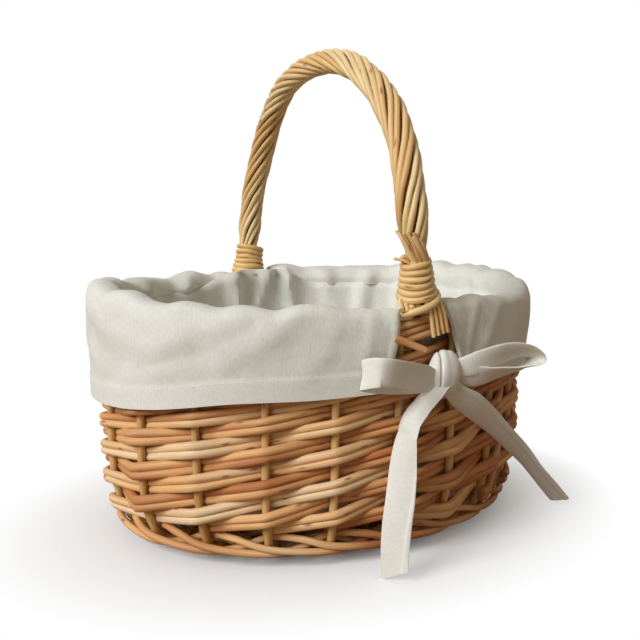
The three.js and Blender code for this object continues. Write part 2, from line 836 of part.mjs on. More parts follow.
// The knot lies on the cuff, with a pocket for each ribbon end that comes out of it
function knotGeometry() {
  const lump = new THREE.SphereGeometry(1, 12, 8);
  lump.scale(knotHalfWidth, knotHalfDepth, knotHalfHeight);
  lump.translate(knotAt.x, knotAt.y, knotAt.z);
  const cuffs = cuffSpans.map(([from, to]) => cuffGeometry(from, to, clearance));
  const pockets = Object.values(strips).map((strip) => stripGeometry(strip, clearance));
  const knot = [...cuffs, ...pockets].reduce((body, cut) => body.subtract(toManifold(cut)), toManifold(lump));
  return fromManifold(knot);
}
add("bow_knot", knotGeometry(), ribbonLinen);

export default basket;
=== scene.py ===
"""An oval basket of buff willow with a roped handle, a turned-out linen liner and a ribbon bow."""

import random
from math import asin, atan, atan2, ceil, copysign, cos, degrees, exp, hypot, pi, radians, sin, tau

import bpy
import numpy as np
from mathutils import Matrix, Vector, noise


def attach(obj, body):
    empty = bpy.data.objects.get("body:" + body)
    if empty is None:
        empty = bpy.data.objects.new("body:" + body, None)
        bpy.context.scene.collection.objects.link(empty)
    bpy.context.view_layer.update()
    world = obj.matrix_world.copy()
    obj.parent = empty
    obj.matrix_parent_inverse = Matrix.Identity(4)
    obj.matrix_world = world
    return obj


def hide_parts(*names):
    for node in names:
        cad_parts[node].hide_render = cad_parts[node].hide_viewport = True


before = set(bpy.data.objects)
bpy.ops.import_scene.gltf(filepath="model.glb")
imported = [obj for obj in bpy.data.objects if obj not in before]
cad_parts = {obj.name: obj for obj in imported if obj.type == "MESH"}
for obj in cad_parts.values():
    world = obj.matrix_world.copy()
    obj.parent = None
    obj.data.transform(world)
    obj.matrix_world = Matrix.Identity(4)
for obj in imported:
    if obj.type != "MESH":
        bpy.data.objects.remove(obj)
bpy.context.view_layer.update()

# Sizes in millimetres, the same as the solids'. Z is up, the bow is on the -Y side.
MM = 0.001
HALF_LENGTH, HALF_WIDTH = 141.6, 107.2
STAKES, STAKE_RADIUS, STAKE_TOP = 20, 2.3, 143.5
WALL_LEAN, CORNER_INSET, CORNER_TOP, TAIL_LENGTH = 1.0, 19.0, 55.0, 14.0
ROD_RADIUS, ROWS, WEAVERS, LEVEL_ROWS, CLEARANCE = 2.1, 13, 16, 5, 0.3
WEAVE_OFFSET, WALE_STEP, WALE_HEIGHT = 5.0, 4.3, 14.0
BASE_MIDDLE = WEAVE_OFFSET + ROD_RADIUS - 0.8
CROWN_MIDDLE = BASE_MIDDLE + 0.8
WALL_FACE = WEAVE_OFFSET + ROD_RADIUS
CORE_TURN = 11.5 / HALF_LENGTH
ROW_HEIGHT = 4 * ROD_RADIUS
BORDER_RODS = 3
ARCH_HALF_WIDTH, ARCH_FOOT, ARCH_RISE, ARCH_FULLNESS = HALF_WIDTH + 9.3, 153.7, 142.0, 2.28
ARCH_SKEW = 4.0
STRAND_LAY, ROPE_RADIUS, STRAND_RADIUS, FOOT_RADIUS, CORE_RADIUS = 130.0, 7.05, 1.85, 1.1, 4.5
WINDING_PITCH, WINDING_TURNS, WINDING_RADIUS, WINDING_DROP = 3.8, 6.5, 1.6, 4.5
KNOT = np.array([20.5, -122.6, 117.0])
UP = np.array([0.0, 0.0, 1.0])
ALONG_X = np.array([1.0, 0.0, 0.0])

# The camera stands where the photograph was taken from
CAMERA_PLACE, CAMERA_LOOK = (-0.239795, -0.500660, 0.214941), (0.42935, 0.88992, -0.15397)
CAMERA_LENS = 46.47

chance = random.Random(7)


def select(*pieces):
    """Selects these pieces and no other, with the first as the active one."""
    bpy.ops.object.select_all(action="DESELECT")
    for piece in pieces:
        piece.select_set(True)
    if pieces:
        bpy.context.view_layer.objects.active = pieces[0]


def added(operator, **settings):
    """The object that an operator adds to the scene."""
    select()
    operator(**settings)
    return bpy.context.object


def set_camera():
    camera = added(bpy.ops.object.camera_add, location=CAMERA_PLACE)
    camera.name = "camera"
    camera.rotation_euler = Vector(CAMERA_LOOK).to_track_quat("-Z", "Y").to_euler()
    camera.data.sensor_width = 36.0
    camera.data.lens = CAMERA_LENS
    camera.data.clip_start = 0.01
    bpy.context.scene.camera = camera


set_camera()


# ---- Lines and places


def unit(vectors):
    return vectors / np.linalg.norm(vectors, axis=-1, keepdims=True)


def smooth(points, per_span, closed=False):
    """A smooth line through the points, with the same number of steps between each two."""
    points = np.asarray(points, float)
    count = len(points)
    spans = count if closed else count - 1
    line = []
    for k in range(spans):
        p1, p2 = points[k], points[(k + 1) % count]
        p0 = points[(k - 1) % count] if closed or k else 2 * p1 - p2
        p3 = points[(k + 2) % count] if closed or k < spans - 1 else 2 * p2 - p1
        pairs = ((p0, p1), (p1, p2), (p2, p3))
        d0, d1, d2 = (np.sqrt(np.linalg.norm(b[:3] - a[:3])) for a, b in pairs)
        t1 = ((p1 - p0) / d0 - (p2 - p0) / (d0 + d1) + (p2 - p1) / d1) * d1
        t2 = ((p2 - p1) / d1 - (p3 - p1) / (d1 + d2) + (p3 - p2) / d2) * d1
        for s in range(per_span):
            t = s / per_span
            square, cube = -3 * p1 + 3 * p2 - 2 * t1 - t2, 2 * p1 - 2 * p2 + t1 + t2
            line.append(p1 + t1 * t + square * t * t + cube * t**3)
    if not closed:
        line.append(points[-1])
    return np.array(line)


def lengths_along(line, closed=False):
    """The distance from the start to each point, and once more to the start if it is closed."""
    steps = np.diff(np.vstack([line, line[:1]]) if closed else line, axis=0)
    return np.concatenate([[0.0], np.cumsum(np.linalg.norm(steps, axis=1))])


def runs_of(line, closed=False):
    """The direction of the line at each point."""
    if closed:
        return unit(np.roll(line, -1, axis=0) - np.roll(line, 1, axis=0))
    return unit(np.gradient(line, axis=0))


def square_to(vectors, runs):
    """The part of each vector that stands square to the line's run."""
    vectors = np.broadcast_to(vectors, runs.shape)
    return unit(vectors - (vectors * runs).sum(1, keepdims=True) * runs)


def inset_at(z):
    lean = WALL_LEAN * (1 - z / STAKE_TOP)
    down = np.clip((CORNER_TOP - z) / (CORNER_TOP - BASE_MIDDLE), 0, 1)
    return lean + CORNER_INSET * (1 - np.sqrt(1 - down * down))


def slope_at(z):
    return (inset_at(z + 0.05) - inset_at(z - 0.05)) / 0.1


def oval(angle, inset, z):
    return np.array([(HALF_LENGTH - inset) * cos(angle), (HALF_WIDTH - inset) * sin(angle), z])


def outward(angle):
    return unit(np.array([cos(angle) / HALF_LENGTH, sin(angle) / HALF_WIDTH, 0.0]))


def wall_place(angle, z, offset, rise=0.0):
    """A place off the stake line, and the directions out of the wall and up along it there."""
    tilt = atan(-slope_at(z))
    out = outward(angle)
    along = out * sin(tilt) + UP * cos(tilt)
    across = out * cos(tilt) - UP * sin(tilt)
    return oval(angle, inset_at(z), z) + across * offset + along * rise, across, along


def between(at, stops, values):
    """Rows of three numbers, read off between the stops that they are given for."""
    return np.stack([np.interp(at, stops, values[:, k]) for k in range(3)], axis=1)


def even_angles(count):
    """Equal steps round the oval, the first at the near foot of the handle."""
    turns = np.linspace(0, tau, 3601) - pi / 2
    points = np.array([oval(a, 0, 0) for a in turns])
    far = lengths_along(points)
    return [turns[int(np.argmax(far >= far[-1] * k / count))] for k in range(count)]


stake_angles = even_angles(STAKES)
# The handle's core stands beside the stakes at its two feet
posts = stake_angles + [stake_angles[0] + CORE_TURN, stake_angles[STAKES // 2] + CORE_TURN]
posts.sort()


def angle_at(stake):
    """The angle of a stake, counted on round the basket from the near foot."""
    return stake_angles[stake % STAKES] + tau * (stake // STAKES)


def height_above(z, distance):
    """The height that is a distance further up along the wall."""
    for _ in range(20):
        z += distance / 20 / hypot(1, slope_at(z))
    return z


FIRST_ROW = height_above(WALE_HEIGHT, WALE_STEP + ROD_RADIUS + CLEARANCE + ROW_HEIGHT / 2)
BORDER_HEIGHT = 2 * ROD_RADIUS * BORDER_RODS
BORDER_MIDDLE = height_above(FIRST_ROW, ROWS * (ROW_HEIGHT + CLEARANCE))
BORDER_MIDDLE += (BORDER_HEIGHT - ROW_HEIGHT) / 2
BORDER_TOP = BORDER_MIDDLE + BORDER_HEIGHT / 2


def wander(points, size, reach, seed):
    """A small smooth drift at each point, from -size to size, that changes over the reach in mm."""
    start = Vector((seed * 3.7, seed * 1.3, 0))
    return np.array([size * 2 * noise.noise(Vector(p / reach) + start) for p in points])


# ---- Meshes


def read(items, name, width, kind=float):
    """What each item of a mesh holds under a name, as the rows of an array."""
    values = np.empty(len(items) * width, kind)
    items.foreach_get(name, values)
    return values.reshape(-1, width)


def uv_grid(along, across):
    """The places of a grid's points in the pattern, from those of its columns and its rows."""
    return np.stack(np.broadcast_arrays(along, across), axis=-1)


def settle(merged=False, capped=False):
    """Merges edges of the new mesh that meet, caps its open ends and turns its faces outward."""
    bpy.ops.object.mode_set(mode="EDIT")
    bpy.ops.mesh.select_all(action="SELECT")
    if merged:
        bpy.ops.mesh.remove_doubles(threshold=1e-6)
    if capped:
        bpy.ops.mesh.fill_holes(sides=0)
    bpy.ops.mesh.normals_make_consistent(inside=False)
    bpy.ops.object.mode_set(mode="OBJECT")


def shaped_grid(places, uv, wrapped=False, closed=False):
    """A grid primitive whose vertices are moved to places[i, j] and whose UV map is in metres.
    wrapped joins its last row to its first, closed its last column to its first."""
    columns, rows = places.shape[0] - 1, places.shape[1] - 1
    cells = {"x_subdivisions": columns, "y_subdivisions": rows}
    piece = added(bpy.ops.mesh.primitive_grid_add, size=1, **cells)
    mesh = piece.data
    flat = read(mesh.vertices, "co", 3)
    i = np.rint((flat[:, 0] + 0.5) * columns).astype(int)
    j = np.rint((flat[:, 1] + 0.5) * rows).astype(int)
    mesh.vertices.foreach_set("co", (places[i, j] * MM).ravel())
    corner = read(mesh.loops, "vertex_index", 1, int)[:, 0]
    mesh.uv_layers[0].data.foreach_set("uv", (uv[i[corner], j[corner]] * MM).ravel())
    settle(merged=wrapped or closed, capped=wrapped and not closed)
    bpy.ops.object.shade_smooth_by_angle(angle=radians(50))
    return piece


def rod(line, out, radius, tone, closed=False, sides=10):
    """A willow rod along a line. out points square to it, where its UV map starts round it, and
    tone is how red and dark it is, from 0 to 1."""
    runs = runs_of(line, closed)
    out = square_to(out, runs)
    side = np.cross(runs, out)
    radius = np.broadcast_to(radius, len(line)).astype(float)
    far = lengths_along(line, closed)
    order = np.arange(len(far)) % len(line)
    turn = np.linspace(0, tau, sides + 1)[:, None]
    ring = np.cos(turn) * out[order][:, None] + np.sin(turn) * side[order][:, None]
    places = line[order][:, None] + radius[order][:, None, None] * ring
    places[:, -1] = places[:, 0]
    around = tau * radius.mean() * np.linspace(0, 1, sides + 1)
    # Each rod takes its streaks from a place of its own in the pattern
    uv = uv_grid(far[:, None] + 977 * tone, around)
    piece = shaped_grid(places, uv, wrapped=True, closed=closed)
    tones = np.full(len(piece.data.vertices), tone, np.float32)
    piece.data.attributes.new("tone", "FLOAT", "POINT").data.foreach_set("value", tones)
    return piece


def thicken(piece, thickness):
    """Gives a sheet its thickness, half of it to each side."""
    select(piece)
    modifier = piece.modifiers.new("thickness", "SOLIDIFY")
    modifier.thickness = thickness * MM
    modifier.offset = 0
    bpy.ops.object.modifier_apply(modifier=modifier.name)


def finish(parts, node, slot, material=None, trim=None):
    """Joins meshes to one piece that stands for a node, or is a trim that the solids don't have."""
    select(*parts)
    if len(parts) > 1:
        bpy.ops.object.join()
    piece = bpy.context.object
    kind = trim or ("linen" if slot in ("linen", "ribbon") else "willow")
    piece.name = piece.data.name = f"{node}_{kind}"
    piece.data.materials.clear()
    piece.data.materials.append(material or MATERIALS[slot])
    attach(piece, "root")
    if not trim:
        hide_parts(node)
    return piece


# ---- Materials


def linear(colour):
    """An sRGB hex colour as linear RGBA."""
    parts = [int(colour[k : k + 2], 16) / 255 for k in (1, 3, 5)]
    return [c / 12.92 if c <= 0.04045 else ((c + 0.055) / 1.055) ** 2.4 for c in parts] + [1.0]


def wire(tree, node, inputs):
    """Sets a node's inputs, by name or number, each to a value or a socket."""
    for key, value in inputs.items():
        if isinstance(value, bpy.types.NodeSocket):
            tree.links.new(value, node.inputs[key])
        else:
            node.inputs[key].default_value = value


def put(tree, kind, inputs=None, stops=(), **settings):
    """Adds a node with its inputs and settings, and the stops of a ramp as places with a colour
    or a grey. Returns the node's outputs."""
    made = tree.nodes.new("ShaderNode" + kind)
    for key, value in settings.items():
        setattr(made, key, value)
    wire(tree, made, inputs or {})
    for _ in stops[2:]:
        made.color_ramp.elements.new(0.5)
    for k, (place, colour) in enumerate(stops):
        element = made.color_ramp.elements[k]
        element.position = place
        element.color = linear(colour) if isinstance(colour, str) else [colour] * 3 + [1.0]
    return made.outputs


def reckon(tree, operation, *values):
    """The outcome of a sum on up to three values."""
    return put(tree, "Math", dict(enumerate(values)), operation=operation)[0]


def blend(tree, share, under, over, **settings):
    """One colour laid over another by a share."""
    inputs = {0: share, 6: under, 7: over}
    return put(tree, "Mix", inputs, data_type="RGBA", **settings)[2]


def speckle(tree, uv, scale, detail):
    """Noise drawn out along the pattern's two ways."""
    place = put(tree, "Mapping", {"Vector": uv, "Scale": scale})["Vector"]
    return put(tree, "TexNoise", {"Vector": place, "Scale": 1.0, "Detail": detail})["Fac"]


def new_material(name, shown, roughness):
    material = bpy.data.materials.new(name)
    material.use_nodes = True
    material.diffuse_color = linear(shown)
    shader = material.node_tree.nodes["Principled BSDF"]
    shader.inputs["Roughness"].default_value = roughness
    return material, material.node_tree, shader


def willow(name, tones, roughness=0.56, streak=0.3):
    """Buff willow: rods boiled and peeled, a satin skin that goes from straw to red-brown, with
    fine streaks along each rod, darker bands, and small scars where side shoots were."""
    material, tree, shader = new_material(name, tones[1], roughness)
    uv = put(tree, "UVMap")["UV"]
    tone = put(tree, "Attribute", attribute_name="tone")["Fac"]
    # Bands of tone 40 mm long
    shift = reckon(tree, "SUBTRACT", speckle(tree, uv, (25, 60, 1), 2.0), 0.5)
    toned = reckon(tree, "MULTIPLY_ADD", shift, 0.55, tone)
    skin = put(tree, "ValToRGB", {"Fac": toned}, list(zip((0.0, 0.5, 1.0), tones)))["Color"]
    # Streaks 0.5 mm wide and 30 mm long
    streaks = speckle(tree, uv, (33, 2000, 1), 3.0)
    shade = put(tree, "ValToRGB", {"Fac": streaks}, [(0.3, 1.0 - streak), (0.7, 1.0)])["Color"]
    streaked = blend(tree, 1.0, skin, shade, blend_type="MULTIPLY")
    # Scars up to 2 mm wide and 6 mm long, about one to each 30 mm of rod
    spots = put(tree, "Mapping", {"Vector": uv, "Scale": (29, 95, 1)})["Vector"]
    cells = put(tree, "TexVoronoi", {"Vector": spots, "Scale": 1.0}, voronoi_dimensions="2D")
    scar = put(tree, "ValToRGB", {"Fac": cells["Distance"]}, [(0.03, 0.8), (0.1, 0.0)])["Color"]
    scarred = blend(tree, scar, streaked, linear("#84491f"))
    rough = put(tree, "MapRange", {0: streaks, 3: roughness - 0.08, 4: roughness + 0.12})[0]
    raised = reckon(tree, "MULTIPLY_ADD", scar, 1.5, streaks)
    bump = put(tree, "Bump", {"Height": raised, "Strength": 0.35, "Distance": 0.00012})[0]
    wire(tree, shader, {"Base Color": scarred, "Roughness": rough, "Normal": bump})
    return material


def cloth(name, colour, shade, pitch, bump_depth):
    """Linen and cotton in plain weave, washed and unpressed: matt, off-white, threads of uneven
    thickness that show as fine ribs, and a faint greyer cast where the cloth is thin."""
    material, tree, shader = new_material(name, colour, 0.92)
    uv = put(tree, "UVMap")["UV"]
    count = 1000 / pitch
    apart = put(tree, "SeparateXYZ", {"Vector": uv})
    threads = []
    for axis in ("X", "Y"):
        # Each thread's place sways a little, so the weave isn't a printed grid
        sway = put(tree, "TexNoise", {"Vector": uv, "Scale": 180.0, "Detail": 2.0})["Fac"]
        moved = reckon(tree, "MULTIPLY_ADD", sway, 0.0011, apart[axis])
        threads.append(reckon(tree, "SINE", reckon(tree, "MULTIPLY", moved, count * tau)))
    ribs = reckon(tree, "MULTIPLY_ADD", threads[0], 0.8, reckon(tree, "MULTIPLY", *threads))
    fine = reckon(tree, "MULTIPLY_ADD", ribs, 0.12, speckle(tree, uv, (700, 320, 1), 2.0))
    wide = put(tree, "TexNoise", {"Vector": uv, "Scale": 22.0, "Detail": 3.0})["Fac"]
    mixed = reckon(tree, "MULTIPLY_ADD", wide, 0.6, reckon(tree, "MULTIPLY", fine, 0.6))
    hue = put(tree, "ValToRGB", {"Fac": mixed}, [(0.41, shade), (0.81, colour)])["Color"]
    bump = put(tree, "Bump", {"Height": fine, "Strength": 0.6, "Distance": bump_depth})[0]
    wire(tree, shader, {"Base Color": hue, "Normal": bump})
    wire(tree, shader, {"Sheen Weight": 0.15, "Sheen Roughness": 0.6})
    return material


wall_willow = willow("buff_willow_weavers", ["#fcdbae", "#f4bb7b", "#bd703b"], 0.62, 0.36)
core_willow = willow("buff_willow_core", ["#c79a60", "#a06a36", "#6f4220"], 0.6)
# The real threads lie about 0.6 mm apart. They are drawn wider, so that they show.
MATERIALS = {
    "buff_willow": wall_willow,
    "dark_willow": wall_willow,
    "pale_willow": wall_willow,
    "stake_willow": willow("buff_willow_stakes", ["#f0cd94", "#deb06c", "#ba864a"]),
    "rope_willow": willow("buff_willow_rope", ["#f9e0aa", "#edc07c", "#c08440"], 0.48),
    "linen": cloth("washed_linen_liner", "#eae9e2", "#d9d6ca", 1.1, 0.0002),
    "ribbon": cloth("linen_ribbon", "#eae8e0", "#dddacf", 0.7, 0.00006),
}
# Cotton sewing thread, spun and matt: a shade darker than the cloth, so that the stitches show
stitch_thread, thread_tree, thread_shader = new_material("cotton_stitch_thread", "#dedacc", 0.85)
wire(thread_tree, thread_shader, {"Base Color": linear("#dedacc")})


# ---- Ribbon tails

LEFT_TAIL = [
    (17.5, -125.2, 109), (11.5, -126.3, 105), (4.6, -127.3, 99.8), (-0.6, -128, 95.3),
    (-4.8, -128.3, 90), (-7, -128.4, 83), (-8.4, -128.4, 74.5), (-9.4, -128.2, 62),
    (-10.8, -128.2, 47), (-12.9, -128.3, 31), (-14.1, -128.8, 17), (-14.4, -129.4, 3.8),
]
RIGHT_TAIL = [
    (23.5, -121.6, 108), (28, -122, 102.5), (42, -119, 93), (63, -110, 78),
    (97, -97, 51), (120, -91, 29), (142, -86, 7.5),
]
# Which way the ribbon's width points. The left tail turns half edge-on near the knot and opens
# again lower down, the right one turns half edge-on further out.
LEFT_WAYS = [
    (0.9, -0.2, 0.4), (0.9, -0.2, 0.4), (0.8, -0.4, 0.4), (0.55, -0.8, 0.2),
    (0.18, -0.98, 0.05), (0.08, -0.99, 0), (0.34, -0.94, 0), (0.6, -0.8, 0),
    (0.7, -0.71, 0), (0.7, -0.71, 0), (0.64, -0.77, 0), (0.56, -0.83, 0),
]
RIGHT_WAYS = [
    (0.5, -0.3, 0.8), (0.5, -0.4, 0.75), (0.47, -0.6, 0.5), (0.45, -0.8, 0.3), (0.5, -0.7, 0.5),
]
LEFT_CUP = ([0, 50, 70, 84, 93, 100, 109], [0.3, 0.5, 0.5, 0.9, 3.0, 4.2, 2.0])
RIGHT_NARROWING = ([0, 60, 110, 150], [1, 0.92, 0.8, 0.72])
RIBBON_WIDTH = 17.0


def ribbon(line, ways, widths, thickness=1.3, slant=0.0, cup=0.0, ripple=0.0, fold=None):
    """A sewn ribbon along a line: a flat tube with rounded edges, its end cut at a slant. cup
    hollows it, ripple waves its edges, fold is where a folded edge lies on it at start and end."""
    runs = runs_of(line)
    wide = square_to(ways_along(ways, len(line)), runs)
    face = np.cross(runs, wide)
    far = lengths_along(line)
    turn = np.linspace(0, tau, 57)
    x = np.sign(np.cos(turn)) * np.abs(np.cos(turn)) ** 0.55
    y = np.sign(np.sin(turn)) * np.abs(np.sin(turn)) ** 0.8
    half = np.broadcast_to(widths, len(line))[:, None] / 2
    wave = ripple * np.sin(far / 9.0 + 0.7)[:, None] * x ** 3
    lift = cup * (1 - x ** 2) * half / 6.5 + wave + thickness / 2 * y
    if fold:
        place = np.interp(far, [far[-1] * 0.35, far[-1]], fold)[:, None]
        lift = lift + 0.9 / (1 + np.exp((place - x) / 0.035))
    ends = np.clip((far - far[-1] + 9) / 9, 0, 1)[:, None] * slant * x
    places = line[:, None] + (half * x)[..., None] * wide[:, None]
    places = places + lift[..., None] * face[:, None] + ends[..., None] * runs[:, None]
    places[..., 2] = np.maximum(places[..., 2], 0.2)
    places[:, -1] = places[:, 0]
    # The ribbon's two faces lie 20 mm apart in the pattern
    uv = uv_grid(far[:, None], half * x + 20 * (turn > pi))
    return shaped_grid(places, uv, wrapped=True)


def gathered_width(far, both_ends=False, spread=3.2):
    """The ribbon's width, drawn together where it goes into the knot."""
    share = far / far[-1]
    near = np.minimum(share, 1 - share) if both_ends else share
    return RIBBON_WIDTH * np.minimum(1, 0.6 + spread * near)


def ways_along(stops, count):
    """Directions that turn evenly between the ones given."""
    stops = np.array(stops, float)
    return unit(between(np.linspace(0, len(stops) - 1, count), range(len(stops)), stops))


def make_tail(name, points, ways, cup, spread, narrowing, **shape):
    """A tail of the bow, a free cord from the knot. cup goes by height, narrowing by length."""
    line = smooth(points, 10)
    far = lengths_along(line)
    widths = gathered_width(far, spread=spread) * np.interp(far, *narrowing)
    tail = ribbon(line, ways, widths, cup=np.interp(line[:, 2], *cup)[:, None], **shape)
    finish([tail], name, "ribbon")


LEFT_SHAPE = {"slant": -4.2, "ripple": 0.2, "fold": (1.0, 0.55)}
RIGHT_SHAPE = {"slant": 2.0, "ripple": 0.4, "fold": (0.55, 0.5)}
make_tail("bow_tail_left", LEFT_TAIL, LEFT_WAYS, LEFT_CUP, 1.35, ([0], [1]), **LEFT_SHAPE)
make_tail("bow_tail_right", RIGHT_TAIL, RIGHT_WAYS, ([0], [1]), 3.2, RIGHT_NARROWING, **RIGHT_SHAPE)


# ---- The wall


def station_lines(stations, per_span, closed):
    """Smooth lines through the stations' places and their outward and upward directions."""
    ways = [np.array([s[k] for s in stations]) for k in range(3)]
    whole = smooth(np.hstack(ways), per_span, closed)
    return whole[:, :3], unit(whole[:, 3:6]), unit(whole[:, 6:9])


def make_stake(number):
    angle = stake_angles[number]
    bend = CORNER_INSET + inset_at(CORNER_TOP)
    points = [oval(angle, bend + TAIL_LENGTH, BASE_MIDDLE)]
    for bent in (0, 25, 48, 72):
        z = CORNER_TOP - (CORNER_TOP - BASE_MIDDLE) * cos(radians(bent)) + 0.02
        points.append(wall_place(angle, z, 0)[0])
    points += [wall_place(angle, z, 0)[0] for z in (CORNER_TOP, 85, 115, STAKE_TOP)]
    line = smooth(points, 8)
    far = lengths_along(line)
    side = np.cross(UP, outward(angle))
    line = line + side * wander(line, 0.5, 60, number)[:, None]
    radius = STAKE_RADIUS * (1.1 - 0.12 * far / far[-1]) + wander(line, 0.08, 12, number + 40)
    stake = rod(line, side, radius, chance.uniform(0.2, 0.75), sides=14)
    finish([stake], f"stake_{number + 1:02d}", "stake_willow")


def make_wale():
    stations = []
    for step in range(3 * STAKES):
        angle, after = angle_at(step % STAKES), angle_at(step % STAKES + 1)
        stroke = step % 3
        offset = -WEAVE_OFFSET if stroke == 2 else WEAVE_OFFSET
        rise = (WALE_STEP / 2, -WALE_STEP / 2, 0)[stroke]
        stations.append(wall_place(angle, WALE_HEIGHT, offset, rise))
        if stroke:
            rise = (0, -WALE_STEP, WALE_STEP)[stroke]
            stations.append(wall_place((angle + after) / 2, WALE_HEIGHT, 0, rise))
    line, out, _ = station_lines(stations, 7, True)
    radius = ROD_RADIUS * 1.02 + wander(line, 0.2, 90, 3)
    wale = rod(line, out, radius, 0.55, closed=True, sides=12)
    set_tone_by_place(wale, 0.55, 0.6, 5)
    finish([wale], "wale", "dark_willow")


def set_tone_by_place(piece, middle, spread, seed):
    """Lets the tone drift round the basket, as one rod gives way to the next, and adds painted
    shade: a darker, redder tone towards the right side, away from the lamp.
    """
    mesh = piece.data
    places = read(mesh.vertices, "co", 3) / MM
    # Painted shade: the tone grows darker and redder towards the right, the side the lamp from the
    # left leaves in shade
    painted_shade_right = 0.62 * (1 - 0.7 * middle) * np.clip((places[:, 0] + 60) / 150, 0, 1)
    tones = np.clip(middle + (wander(places, spread / 2, 70, seed) + painted_shade_right), 0, 1)
    mesh.attributes["tone"].data.foreach_set("value", tones.astype(np.float32))


SLOTS = ("buff_willow", "dark_willow", "pale_willow")
CLIMB = WEAVERS / STAKES
# Where a rod starts to bend, as a share of the way to the next post, and how far out it is there
BEND, BEND_OUT = 0.09, 0.86


def rows_climbed(weaver, stake):
    """How many rows above the first a weaver is at a stake, counted on from the near foot."""
    whole = int(CLIMB * stake)
    return whole - weaver + (CLIMB * stake - whole) * min(1, (whole - weaver) / LEVEL_ROWS)


def make_weaver(weaver):
    """Two rods side by side that climb to the right, straight between posts, bent round each."""
    stops = []
    stake = ceil(weaver / CLIMB)
    while rows_climbed(weaver, stake) <= ROWS - 1:
        rows = rows_climbed(weaver, stake)
        beyond = rows_climbed(weaver, stake + 1) - rows
        apart = min(1.2, rows - rows_climbed(weaver + 1, stake))
        side = -1 if (stake + weaver) % 2 == 0 else 1
        here, there = angle_at(stake), angle_at(stake + 1)
        turns = [(-BEND, BEND_OUT), (0.0, 1.0), (BEND, BEND_OUT)]
        if stake % (STAKES // 2) == 0:
            core = CORE_TURN / (there - here)
            turns[2:] = [(core, 1.0), (core + BEND, BEND_OUT)]
        for share, out in turns:
            place = min(rows + beyond * share, ROWS - 1)
            stops.append((here + (there - here) * share, place, side * out, apart))
        stake += 1
    parts = []
    for strand in (0, 1):
        seed = weaver * 2 + strand
        stations = []
        for angle, rows, out, apart in stops:
            # A stiff rod rides up a little in front of a stake and down behind it
            z = height_above(FIRST_ROW, max(rows, 0) * (ROW_HEIGHT + CLEARANCE)) + 1.1 * out
            lift = (2 * strand - 1) * ROD_RADIUS * apart + chance.uniform(-0.12, 0.12)
            stations.append(wall_place(angle, z, out * (WEAVE_OFFSET - 0.2), lift))
        line, out, along = station_lines(stations, 5, False)
        line = line + along * wander(line, 0.3, 45, seed)[:, None]
        far = lengths_along(line)
        shares = np.linspace(0, 1, len(line))
        wide = np.interp(shares, np.linspace(0, 1, len(stops)), [stop[3] for stop in stops])
        radius = ROD_RADIUS * (1.16 - 0.06 * far / far[-1]) * wide
        radius = radius + wander(line, 0.2, 60, seed + 60)
        # Paler and redder rods take turns
        middle = (0.2, 0.62, 0.4, 0.75)[weaver % 4] + chance.uniform(-0.16, 0.16)
        part = rod(line, out, radius, middle)
        set_tone_by_place(part, middle, 0.45, seed)
        parts.append(part)
    finish(parts, f"weaver_{weaver + 1:02d}", SLOTS[weaver % 3])


def make_border(name, side, slot):
    parts = []
    for number in range(BORDER_RODS):
        lift = (2 * number - BORDER_RODS + 1) * ROD_RADIUS
        stations = []
        for angle in posts:
            rise = lift + chance.uniform(-0.3, 0.3)
            stations.append(wall_place(angle, BORDER_MIDDLE, side * WEAVE_OFFSET, rise))
        line, out, _ = station_lines(stations, 12, True)
        # At the near foot the rods slant, pushed up by the handle's ends
        beside = line[:, 0] - 10
        line[:, 2] += np.where(line[:, 1] < 0, 0.2 * beside * np.exp(-((beside / 22) ** 4)), 0)
        radius = ROD_RADIUS * chance.uniform(0.92, 1.0) + wander(line, 0.2, 60, number)
        parts.append(rod(line, out, radius, chance.uniform(0.3, 0.7), closed=True))
    if side > 0:
        # The cut end of a rod that comes out under the border at the near foot
        line = smooth([(-10, -117.6, 135.6), (-2, -118.4, 132.4), (8.5, -120.4, 127.8)], 8)
        parts.append(rod(line, UP, ROD_RADIUS, 0.65, sides=14))
    finish(parts, name, slot)


for number in range(STAKES):
    make_stake(number)
make_wale()
for number in range(WEAVERS):
    make_weaver(number)
make_border("border_outer", 1, "buff_willow")
make_border("border_inner", -1, "dark_willow")


# ---- The base

EDGE_INSET = CORNER_INSET + inset_at(CORNER_TOP) + TAIL_LENGTH - 3 * ROD_RADIUS
STICK_REACH = EDGE_INSET + 3 * ROD_RADIUS + 3
BAND_WIDTH = 10 * ROD_RADIUS + 2 * CLEARANCE
STICK_ENDS = 12


def make_band(name, angles, inset, middle, rods, phase, slot):
    parts = []
    for number in range(rods):
        drawn_in = inset - (2 * number - rods + 1) * ROD_RADIUS
        points = []
        for index, angle in enumerate(angles):
            side = 1 if (index + phase) % 2 == 0 else -1
            points.append(oval(angle, drawn_in, middle + side * (WEAVE_OFFSET - 0.1)))
        line = smooth(points, 8, True)
        tone = chance.uniform(0.3, 0.8)
        # The base stands on the table
        line[:, 2] = np.maximum(line[:, 2], ROD_RADIUS)
        parts.append(rod(line, UP, ROD_RADIUS * chance.uniform(0.93, 1.0), tone, closed=True))
    finish(parts, name, slot)


def make_slath():
    """Three sticks along the base, crossed by three across it."""
    inner = STICK_REACH + BAND_WIDTH * 2 + 3
    parts = []
    for k in (-1, 0, 1):
        off = tau * k / STICK_ENDS
        for first, last in ((pi - off, off), (-pi / 2 - off, pi / 2 + off)):
            stops = ((first, STICK_REACH), (first, inner), (last, inner), (last, STICK_REACH))
            line = smooth([oval(angle, inset, CROWN_MIDDLE) for angle, inset in stops], 8)
            parts.append(rod(line, UP, STAKE_RADIUS, chance.uniform(0.3, 0.7), sides=12))
    finish(parts, "base_slath", "stake_willow")


